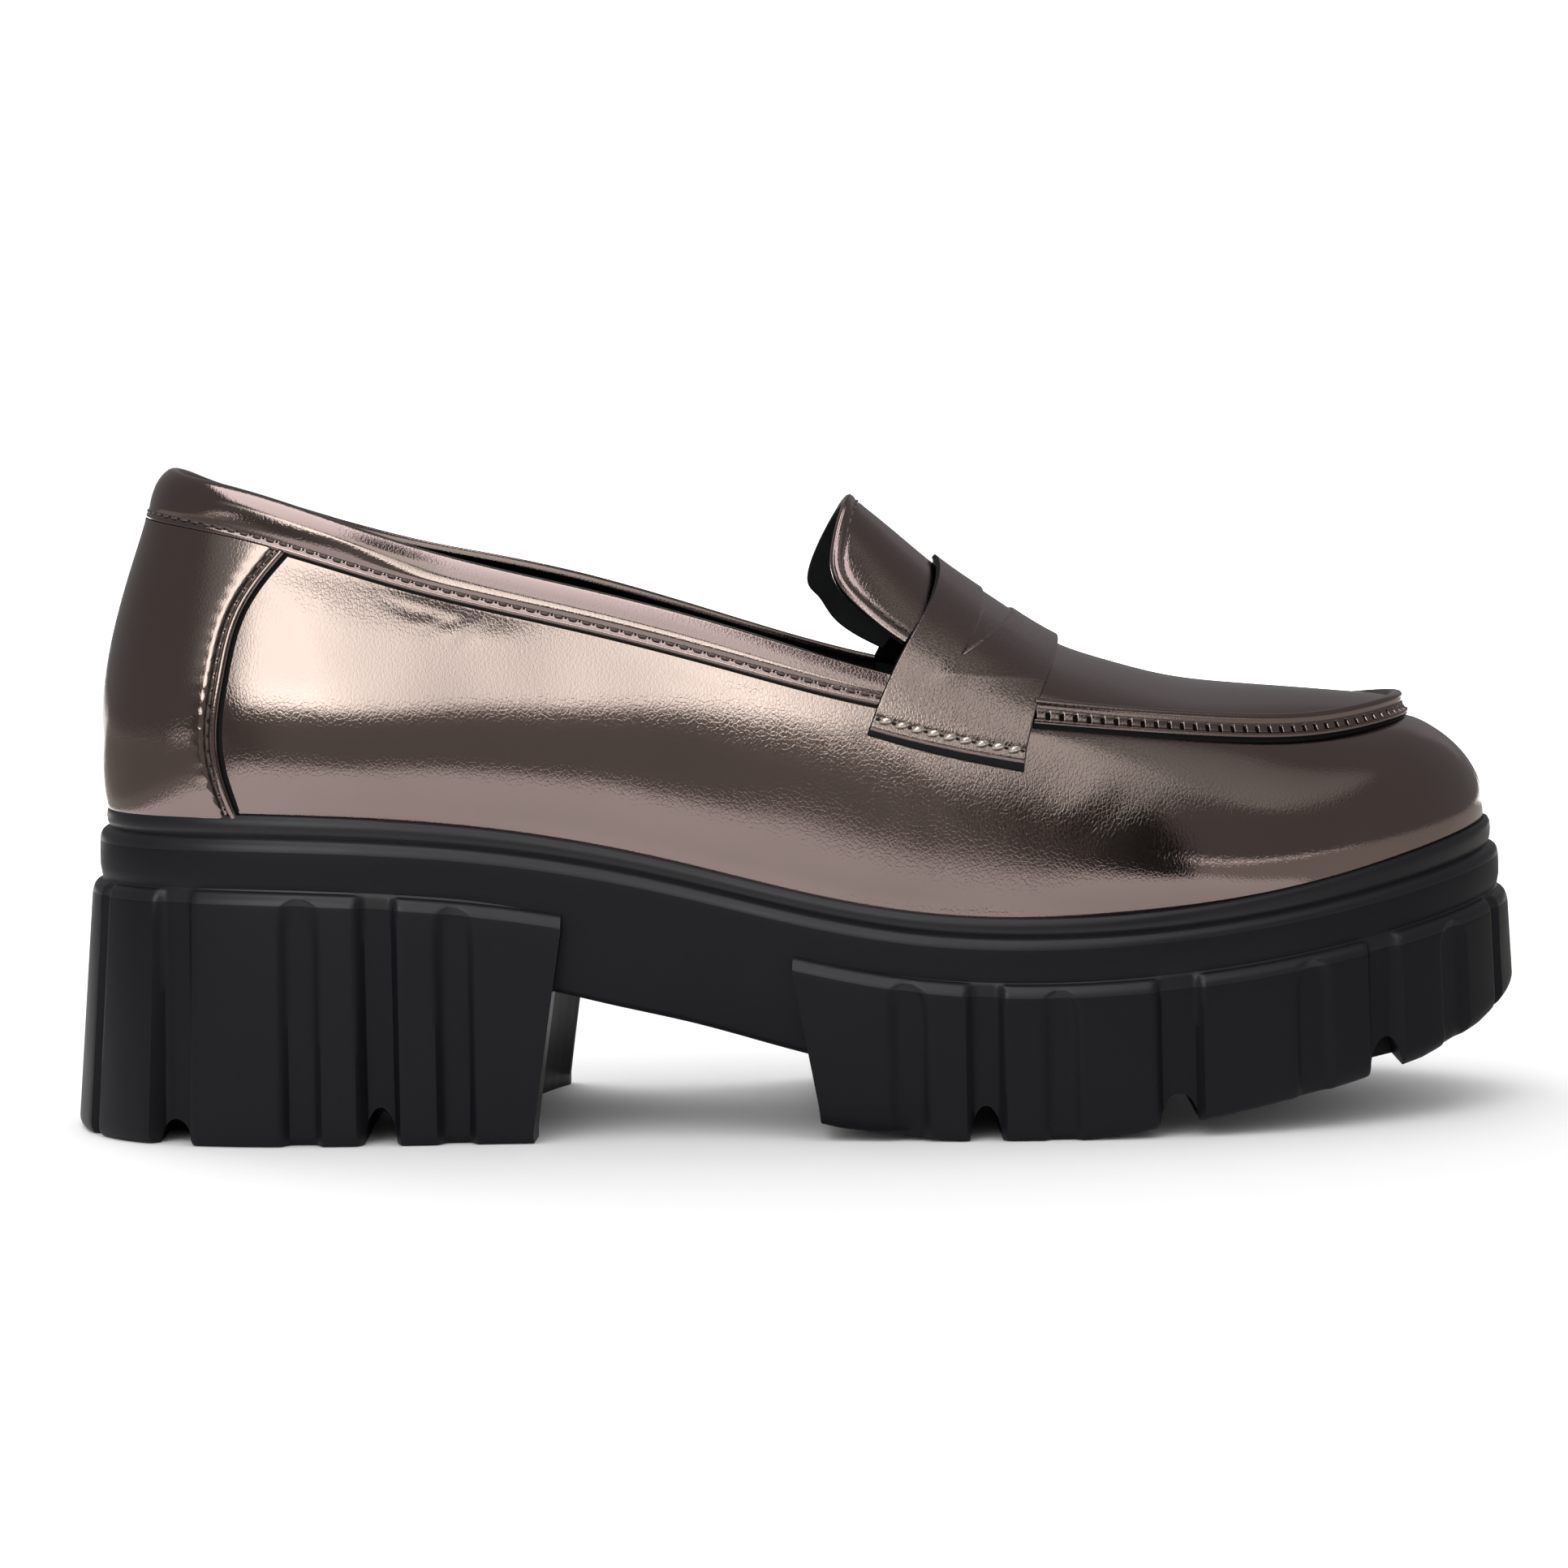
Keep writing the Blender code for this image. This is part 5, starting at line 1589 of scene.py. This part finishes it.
def build_platform():
    """Platform with its seat, bead, groove, step and arch."""
    t = np.linspace(0.0, 2.0, PLATFORM_COLUMNS, endpoint=False)
    plan, out = feather(t)
    s = plan[:, 0]
    rise = curve(BEAD_RISE, "rise")(s)
    rings = [solid_point(plan + out * reach, welt_height(s) - drop * step_scale(s)
                         + rise * (1.0 - soft_step(BEAD_CROWN, BEAD_FOOT, drop)))
             for reach, drop in PLATFORM_SECTION[1:]]
    under = curve(PLATFORM_UNDERSIDE, "height")(s)
    reach = curve(PLATFORM_UNDERSIDE, "out", straight=True)(s)
    for inset, lift in UNDER_EDGE[1:]:
        rings.append(solid_point(plan + out * (reach - inset)[:, None], under + lift))
    points, faces = loft(np.stack(rings))
    row = np.arange(len(faces)) // PLATFORM_COLUMNS
    rubbed = (row < RUBBED_ROWS).astype(int)
    piece = new_piece("sole_platform", [(points, faces, rubbed)], [rubber, rubber_edge],
                      "sole_unit")
    fix_mesh(piece, weld=0.002, sharp=50.0)
    return piece


platform = build_platform()
print("platform:", len(platform.data.polygons), "quads")

# %% [markdown]
# The heel block and the fore block carry the ribs. Along the feather line a relief function says where
# a rib, a groove or a recess is; up the side a short table rounds the top ledge and the tread edge.
# Tread grooves and the hollow heel breast are cut with Boolean modifiers, as the mould maker would mill
# them.

# %% Relief of the ribs
RIB_BLOCKS = (
    ("name", "start", "end", "groove_start", "groove_end"),
    ("heel back", -13.4, 13.4, 0.0, 0.0),
    ("heel corner", 14.8, 27.3, 0.0, 0.0),
    ("heel side", 33.4, 64.0, 50.2, 56.2),
    ("heel front", 70.3, 108.0, 78.3, 84.3),
    ("waist", 138.0, 176.7, 162.8, 168.7),
    ("ball", 182.3, 210.1, 190.3, 195.7),
    ("little toe", 217.5, 249.4, 235.3, 241.0),
    ("toe side", 255.3, 281.8, 265.7, 271.1),
    ("toe", 283.6, 310.0, 0.0, 0.0),
)
RIB_FLANK = 1.7
GROOVE_LEVEL = 0.4
GROOVE_TOP = 1.4
GROOVE_ARCH = 2.2
GROOVE_EDGE = 0.8


def rib_level(along, drop):
    """Relief of the side: 1 on a rib, 0 in a recess; drop is the depth below the rib's top."""
    level = np.zeros_like(along)
    half = RIB_FLANK / 2.0
    for _, start, end, groove_start, groove_end in RIB_BLOCKS[1:]:
        block = soft_span(start, end, half, along)
        if groove_end > groove_start:
            groove = soft_span(groove_start, groove_end, half, along)
            off = (along - 0.5 * (groove_start + groove_end)) / (groove_end - groove_start)
            top = GROOVE_TOP + GROOVE_ARCH * (2.0 * off) ** 2
            groove = groove * soft_step(top - GROOVE_EDGE, top + GROOVE_EDGE, drop)
            block = block * (1.0 - (1.0 - GROOVE_LEVEL) * groove)
        level = np.maximum(level, block)
    return level


print(len(RIB_BLOCKS) - 1, "rib blocks on each side")

# %% Heel block and fore block
TREAD = (
    ("s", "height"),
    (128.0, 4.2),
    (136.0, 2.4),
    (146.0, 1.2),
    (157.0, 0.0),
    (180.0, 0.0),
    (190.0, 1.2),
    (203.0, 3.2),
    (226.0, 7.4),
    (244.0, 11.5),
    (256.0, 16.0),
    (265.0, 21.0),
)
BLOCK_TOP = (
    ("drop", "recess", "rib"),
    (-2.0, 2.2, 2.2),
    (-0.1, 2.95, 2.95),
    (0.1, 3.02, 3.45),
    (0.4, 3.07, 3.95),
    (0.9, 3.13, 4.4),
    (1.6, 3.2, 4.72),
    (2.3, 3.26, 4.9),
    (3.0, 3.3, 5.0),
)
BLOCK_FOOT = (
    ("lift", "tuck"),
    (2.2, 0.0),
    (1.5, 0.05),
    (0.95, 0.22),
    (0.5, 0.5),
    (0.2, 0.9),
    (0.0, 1.5),
)
BLOCKS = {
    "heel": {"from": 101.2, "to": 0.0, "top_drop": 13.6, "slant": -5.6, "skew": 4.0,
             "recess": 4.9, "rib": 8.7},
    "fore": {"from": 144.6, "to": HALF_LENGTH, "top_drop": 11.6, "slant": 4.8, "skew": 0.0,
             "recess": 3.6, "rib": 5.7},
}
STATION = 0.6
SIDE_ROWS = 12
END_FADE = 22.0
BLOCK_SHARP = 42.0
BLOCK_RUBBED = 6
tread_height = curve(TREAD, "height", straight=True)


def block_rings(name):
    """Rings of a rib block from its top inside the platform down to its tread."""
    block = BLOCKS[name]
    along = np.linspace(block["from"], block["to"], int(abs(block["to"] - block["from"]) / STATION))
    floor = tread_height if name == "fore" else np.zeros_like
    fade = 1.0 - soft_step(0.0, END_FADE, np.abs(along - block["from"]))
    rows = [(0.0, drop, 0.0, recess, rib) for drop, recess, rib in BLOCK_TOP[1:]]
    top_drop, top_recess, top_rib = BLOCK_TOP[-1]
    foot_lift = BLOCK_FOOT[1][0]
    for share in np.linspace(0.0, 1.0, SIDE_ROWS + 2)[1:-1]:
        rows.append((share, top_drop, foot_lift, top_recess + (block["recess"] - top_recess) * share,
                     top_rib + (block["rib"] - top_rib) * share))
    rows += [(1.0, top_drop, lift, block["recess"] - tuck, block["rib"] - tuck)
             for lift, tuck in BLOCK_FOOT[1:]]
    rings = []
    for share, drop, lift, recess, rib in rows:
        sides = []
        for inner in (False, True):
            places = along + fade * (block["slant"] * share + (block["skew"] if inner else 0.0))
            t = places / HALF_LENGTH
            plan, normal = feather(2.0 - t if inner else t)
            high = welt_height(plan[:, 0]) - block["top_drop"] - drop
            depth = drop + (high - floor(plan[:, 0])) * share
            out = recess + (rib - recess) * rib_level(places, depth)
            where = plan + normal * out[:, None]
            low = floor(where[:, 0]) + lift
            sides.append(solid_point(where, high * (1.0 - share) + low * share))
        rings.append(np.concatenate((sides[0], sides[1][::-1])))
    return np.stack(rings)


heel_rings = block_rings("heel")
fore_rings = block_rings("fore")
print("heel block:", heel_rings.shape[:2], "fore block:", fore_rings.shape[:2])

# %% Grooves and heel breast
TREAD_GROOVES = (
    ("s", "half_width", "height", "solid_middle"),
    (13.0, 3.2, 4.4, 14.0),
    (51.5, 3.1, 6.8, 0.0),
    (162.6, 3.0, 6.4, 0.0),
    (197.9, 3.7, 5.6, 0.0),
    (236.9, 3.2, 6.2, 18.0),
)
GROOVE_SUNK = 1.0
GROOVE_REACH = 140.0
GROOVE_SIDES = 40
BREAST_HOLLOW = 7.0
BREAST_RIM = 5.0
BREAST_SIDES = 120
BREAST_REACH = 120.0


def cutter_from(name, bm):
    """Cutting tool from a bmesh in shoe millimetres."""
    mesh = bpy.data.meshes.new(name)
    bmesh.ops.scale(bm, vec=(MM, MM, MM), verts=bm.verts)
    bmesh.ops.translate(bm, vec=stand, verts=bm.verts)
    bm.to_mesh(mesh)
    bm.free()
    tool = bpy.data.objects.new(name, mesh)
    bpy.context.scene.collection.objects.link(tool)
    return tool


def groove_tool(s, half_width, height, middle, floor):
    """Round-topped bar in the tread."""
    bm = bmesh.new()
    bmesh.ops.create_cone(bm, cap_ends=True, segments=GROOVE_SIDES, radius1=1.0, radius2=1.0,
                          depth=GROOVE_REACH)
    shape = Matrix.Diagonal((half_width, height + GROOVE_SUNK, 1.0, 1.0))
    turn = Matrix.Rotation(math.radians(90.0), 4, "X")
    place = Matrix.Translation((s, middle, floor - GROOVE_SUNK))
    bmesh.ops.transform(bm, matrix=place @ turn @ shape, verts=bm.verts)
    return cutter_from("groove_tool", bm)


def breast_tool(low, high):
    """Leaning cylinder that hollows the front face of the heel between its corners."""
    half = np.linalg.norm(low[-1] - low[0]) / 2.0 - BREAST_RIM
    radius = (half ** 2 + BREAST_HOLLOW ** 2) / (2.0 * BREAST_HOLLOW)
    middle = (low[0] + low[-1]) / 2.0
    lean = (high[0] + high[-1]) / 2.0 - middle
    bm = bmesh.new()
    bmesh.ops.create_cone(bm, cap_ends=True, segments=BREAST_SIDES, radius1=radius, radius2=radius,
                          depth=BREAST_REACH)
    for vert in bm.verts:
        vert.co.x += middle[0] - BREAST_HOLLOW + radius + vert.co.z * lean[0] / lean[2]
        vert.co.y += middle[1]
    return cutter_from("breast_tool", bm)


def build_block(name, rings, tools):
    """Rib block, cut by its tools."""
    points, faces = loft(rings)
    row = np.arange(len(faces)) // rings.shape[1]
    rubbed = (row < BLOCK_RUBBED).astype(int)
    piece = new_piece(name, [(points, faces, rubbed)], [rubber, rubber_edge], "sole_unit")
    fix_mesh(piece, weld=0.002)
    for tool in tools:
        cut = piece.modifiers.new("cut", "BOOLEAN")
        cut.operation = "DIFFERENCE"
        cut.object = tool
    apply_modifiers(piece)
    for tool in tools:
        bpy.data.objects.remove(tool)
    piece.data.shade_smooth()
    piece.data.set_sharp_from_angle(angle=math.radians(BLOCK_SHARP))
    return piece


heel_tools = []
fore_tools = []
for s, half_width, height, solid_middle in TREAD_GROOVES[1:]:
    for side in (-1.0, 1.0) if solid_middle else (0.0,):
        middle = side * (solid_middle + 0.5 * GROOVE_REACH)
        if s < BLOCKS["heel"]["from"]:
            heel_tools.append(groove_tool(s, half_width, height, middle, 0.0))
        else:
            fore_tools.append(groove_tool(s, half_width, height, middle, float(tread_height(s))))
heel_tools.append(breast_tool(heel_rings[-1], heel_rings[0]))
heel_block = build_block("sole_heel", heel_rings, heel_tools)
fore_block = build_block("sole_forefoot", fore_rings, fore_tools)
print("heel:", len(heel_block.data.polygons), "faces; fore:", len(fore_block.data.polygons), "faces")

# %% [markdown]
# ## Studio
# A mirror shows the room, so most of the look of foil leather is the light. One large softbox stands in
# front, over the camera, and gives the bright upper half of the quarter. The white floor gives the band
# along the sole. Between them the dark room shows as a dark band. The room lights matt things evenly,
# but reflections are given a darker one, as walls far from the lamps would be, and the camera sees a
# white backdrop.

# %% Floor and backdrop
FLOOR_HALF = 4.0
GLOW_NEAR = 0.3
GLOW_FAR = 0.75
WHITE = linear("#ffffff")


def white_floor():
    """Matt white floor that runs into a bright backdrop."""
    material, tree, shader, place = new_material("matt_white_paper")
    reach = add_node(tree, "ShaderNodeVectorMath", {0: place}, operation="LENGTH")
    glow = add_node(tree, "ShaderNodeMapRange", {
        "Value": reach.outputs["Value"], "From Min": GLOW_NEAR, "From Max": GLOW_FAR,
        "To Min": 0.0, "To Max": 1.0}, interpolation_type="SMOOTHSTEP")
    shader.inputs["Base Color"].default_value = linear("#f2f2f2")
    shader.inputs["Roughness"].default_value = 0.9
    shader.inputs["Specular IOR Level"].default_value = 0.1
    shader.inputs["Emission Color"].default_value = WHITE
    tree.links.new(glow.outputs["Result"], shader.inputs["Emission Strength"])
    return material


floor_mesh = bpy.data.meshes.new("floor")
corners = [(x * FLOOR_HALF, y * FLOOR_HALF, 0.0) for x, y in ((-1, -1), (1, -1), (1, 1), (-1, 1))]
floor_mesh.from_pydata(corners, [], [(0, 1, 2, 3)])
floor_mesh.materials.append(white_floor())
floor = bpy.data.objects.new("floor", floor_mesh)
bpy.context.scene.collection.objects.link(floor)
print("floor:", 2 * FLOOR_HALF, "m wide")

# %% World and lights
ROOM_TINT = (1.0, 0.98, 0.97, 1.0)
ROOM_GREY = 0.21
ROOM_FILL = 0.95
BACKDROP = 1.02
LIGHTS = (
    ("name", "place", "target", "width", "height", "brightness"),
    ("front_softbox", (-0.35, -0.8, 0.7), (0.0, 0.0, 0.05), 0.7, 0.7, 1.1),
    ("ceiling", (-0.25, -0.1, 1.7), (0.0, 0.0, 0.0), 2.4, 2.4, 0.55),
    ("backdrop_light", (-0.5, 1.2, 0.3), (0.0, 0.0, 0.0), 1.6, 0.5, 5.0),
    ("rear_softbox", (-0.9, 1.1, 0.9), (0.0, 0.0, 0.07), 1.0, 0.7, 1.8),
)

world = bpy.data.worlds.new("studio")
world.use_nodes = True
bpy.context.scene.world = world
room = world.node_tree
room.nodes.clear()
walls = add_node(room, "ShaderNodeBackground", {"Color": ROOM_TINT, "Strength": ROOM_GREY})
fill = add_node(room, "ShaderNodeBackground", {"Color": WHITE, "Strength": ROOM_FILL})
backdrop = add_node(room, "ShaderNodeBackground", {"Color": WHITE, "Strength": BACKDROP})
seen = add_node(room, "ShaderNodeLightPath")
around = add_node(room, "ShaderNodeMixShader", {
    0: seen.outputs["Is Glossy Ray"], 1: fill.outputs[0], 2: walls.outputs[0]})
mixed = add_node(room, "ShaderNodeMixShader", {
    0: seen.outputs["Is Camera Ray"], 1: around.outputs[0], 2: backdrop.outputs[0]})
add_node(room, "ShaderNodeOutputWorld", {"Surface": mixed.outputs[0]})


def softbox(name, place, target, width, height, brightness):
    """Softbox of a brightness, aimed at a point; it is seen neither directly nor in reflections."""
    data = bpy.data.lights.new(name, "AREA")
    data.shape = "RECTANGLE"
    data.size = width
    data.size_y = height
    data.energy = brightness * math.pi * width * height
    light = bpy.data.objects.new(name, data)
    light.location = place
    light.rotation_euler = (Vector(target) - Vector(place)).to_track_quat("-Z", "Y").to_euler()
    light.visible_camera = False
    light.visible_glossy = False
    bpy.context.scene.collection.objects.link(light)


for row in LIGHTS[1:]:
    softbox(*row)
print("lights:", [row[0] for row in LIGHTS[1:]])

# %% [markdown]
# The cards are what the mirror sees, and only reflections see them. A large bright card stands for the
# main softbox with a hotter foot, a dimmer one for the light over the toe, a window overhead lights the
# collar band, and one at the rear edges the heel. Low dark ones stand for the unlit room behind the
# camera, and floor cards for the paper in front of the shoe. Their edges become the edges of the bands
# on the leather.

# %% Cards
FRONT = -0.75
CARD_STEPS = 12
CARD_TINTS = {
    "softbox": (1.0, 1.06, 1.01, 1.0),
    "window": (1.0, 1.0, 1.04, 1.0),
    "rear": (1.0, 0.94, 1.0, 1.0),
    "room": (1.0, 0.97, 0.91, 1.0),
}
CARDS = (
    ("name", "tint", "corners", "glow"),
    ("card_main", "softbox",
     ((-0.54, FRONT, 0.14), (-0.25, FRONT, 0.14), (-0.25, FRONT, 0.62), (-0.52, FRONT, 0.75)),
     (4.4, 4.4, 4.4, 4.4)),
    ("card_hot", "softbox",
     ((-0.46, -0.74, 0.13), (-0.25, -0.74, 0.13), (-0.25, -0.74, 0.28), (-0.46, -0.74, 0.28)),
     (5.0, 5.0, 5.0, 5.0)),
    ("card_fall", "softbox",
     ((-0.25, FRONT, 0.14), (-0.02, FRONT, 0.14), (-0.02, FRONT, 0.5), (-0.25, FRONT, 0.62)),
     (4.4, 1.2, 1.2, 4.4)),
    ("card_side", "softbox",
     ((-0.66, FRONT, 0.3), (-0.54, FRONT, 0.2), (-0.52, FRONT, 0.75), (-0.66, FRONT, 0.9)),
     (0.6, 4.3, 4.3, 0.7)),
    ("card_far", "softbox",
     ((-1.1, FRONT, 0.35), (-0.66, FRONT, 0.3), (-0.66, FRONT, 0.9), (-1.1, FRONT, 1.2)),
     (0.25, 0.6, 0.7, 0.25)),
    ("card_over", "window",
     ((-0.7, -1.45, 1.3), (0.0, -1.45, 1.3), (0.24, 0.6, 1.3), (-0.45, 0.6, 1.3)),
     (2.6, 1.6, 3.4, 3.4)),
    ("card_vamp", "softbox",
     ((-0.02, FRONT, 0.13), (0.1, FRONT, 0.27), (0.1, FRONT, 1.5), (-0.02, FRONT, 1.4)),
     (1.2, 1.3, 2.4, 1.6)),
    ("card_toe", "softbox",
     ((0.1, FRONT, 0.27), (0.85, FRONT, 1.2), (0.85, FRONT, 1.6), (0.1, FRONT, 1.4)),
     (1.3, 0.9, 0.9, 1.7)),
    ("card_edge", "softbox",
     ((0.9, FRONT, 1.1), (0.9, 0.1, 1.1), (0.9, 0.1, 2.2), (0.9, FRONT, 2.2)),
     (0.6, 0.35, 0.35, 0.6)),
    ("card_back", "rear",
     ((-0.2, 1.2, 0.35), (0.9, 1.2, 0.35), (0.9, 1.2, 0.9), (-0.2, 1.2, 0.9)),
     (0.12, 0.34, 0.38, 0.16)),
    ("card_low", "room",
     ((-0.23, -0.31, 0.0), (-0.07, -0.265, 0.0), (-0.07, -0.265, 0.11), (-0.23, -0.31, 0.113)),
     (0.28, 0.28, 0.28, 0.28)),
    ("card_waist", "room",
     ((-0.07, -0.265, 0.0), (0.02, -0.24, 0.0), (0.02, -0.24, 0.088), (-0.07, -0.265, 0.11)),
     (0.28, 0.28, 0.28, 0.28)),
    ("card_left", "room",
     ((-0.42, -0.33, 0.0), (-0.23, -0.31, 0.0), (-0.23, -0.31, 0.118), (-0.42, -0.33, 0.118)),
     (0.1, 0.2, 0.2, 0.1)),
    ("card_patch", "room",
     ((0.02, -0.24, 0.0), (0.12, -0.17, 0.0), (0.12, -0.17, 0.15), (0.02, -0.24, 0.088)),
     (0.08, 0.02, 0.02, 0.1)),
    ("card_heel", "room",
     ((-0.34, 0.25, 0.0), (-0.34, -0.4, 0.0), (-0.34, -0.4, 0.065), (-0.34, 0.25, 0.065)),
     (0.3, 0.3, 0.3, 0.3)),
    ("card_floor_mid", "room",
     ((-0.045, -0.06, 0.002), (0.02, -0.06, 0.002), (0.02, 0.06, 0.002), (-0.045, 0.06, 0.002)),
     (0.15, 0.15, 0.15, 0.15)),
    ("card_floor_left", "room",
     ((-4.2, -2.0, 0.002), (-0.27, -0.6, 0.002), (-0.27, 0.4, 0.002), (-4.2, 4.2, 0.002)),
     (0.35, 0.45, 0.45, 0.35)),
    ("card_floor_right", "room",
     ((0.14, -0.6, 0.002), (4.2, -2.0, 0.002), (4.2, 4.2, 0.002), (0.14, 0.4, 0.002)),
     (0.5, 0.35, 0.35, 0.5)),
)


def card_material(name, tint):
    """Glowing card: its brightness is an attribute of the mesh."""
    material = bpy.data.materials.new(name)
    material.use_nodes = True
    tree = material.node_tree
    shader = tree.nodes["Principled BSDF"]
    glow = add_node(tree, "ShaderNodeAttribute", {}, attribute_name="glow")
    tree.links.new(glow.outputs["Fac"], shader.inputs["Emission Strength"])
    shader.inputs["Base Color"].default_value = linear("#000000")
    shader.inputs["Specular IOR Level"].default_value = 0.0
    shader.inputs["Emission Color"].default_value = tint
    return material


def reflection_card(name, material, corners, glow):
    """Card that only reflections see; its glow runs evenly between its four corners."""
    share = np.linspace(0.0, 1.0, CARD_STEPS)
    u, v = np.meshgrid(share, share, indexing="ij")
    weights = np.stack(((1.0 - u) * (1.0 - v), u * (1.0 - v), u * v, (1.0 - u) * v), axis=-1).reshape(-1, 4)
    mesh = bpy.data.meshes.new(name)
    mesh.from_pydata((weights @ np.array(corners)).tolist(), [], grid_quads(CARD_STEPS, CARD_STEPS).tolist())
    mesh.attributes.new("glow", "FLOAT", "POINT").data.foreach_set("value", weights @ np.array(glow))
    mesh.materials.append(material)
    card = bpy.data.objects.new(name, mesh)
    bpy.context.scene.collection.objects.link(card)
    card.visible_camera = False
    card.visible_diffuse = False
    card.visible_shadow = False
    card.visible_transmission = False


card_materials = {kind: card_material(f"card_{kind}", tint) for kind, tint in CARD_TINTS.items()}
for name, kind, corners, glow in CARDS[1:]:
    reflection_card(name, card_materials[kind], corners, glow)
print("cards:", len(CARDS) - 1)

# %% [markdown]
# ## Camera
# The photograph was taken from the outer side with a long lens, a little above the shoe and turned by
# about one degree. The distance and the lens follow from how much the near and far edges of the sole
# differ.

# %% Camera
TARGET = Vector((-1.44, 0.23, 62.0)) * MM
DISTANCE = 0.9
ELEVATION = math.radians(5.0)
ROLL = math.radians(1.2)
LENS = 108.45
SENSOR = 36.0
NEAREST = 0.01

camera_data = bpy.data.cameras.new("camera")
camera_data.lens = LENS
camera_data.sensor_width = SENSOR
camera_data.clip_start = NEAREST
camera = bpy.data.objects.new("camera", camera_data)
bpy.context.scene.collection.objects.link(camera)
view = Vector((0.0, math.cos(ELEVATION), -math.sin(ELEVATION)))
camera.location = TARGET - view * DISTANCE
camera.rotation_euler = (Matrix.Rotation(math.radians(90.0) - ELEVATION, 4, "X")
                         @ Matrix.Rotation(-ROLL, 4, "Z")).to_euler()
bpy.context.scene.camera = camera
bpy.context.scene.view_settings.view_transform = "Standard"
print("camera at", [round(c, 3) for c in camera.location])
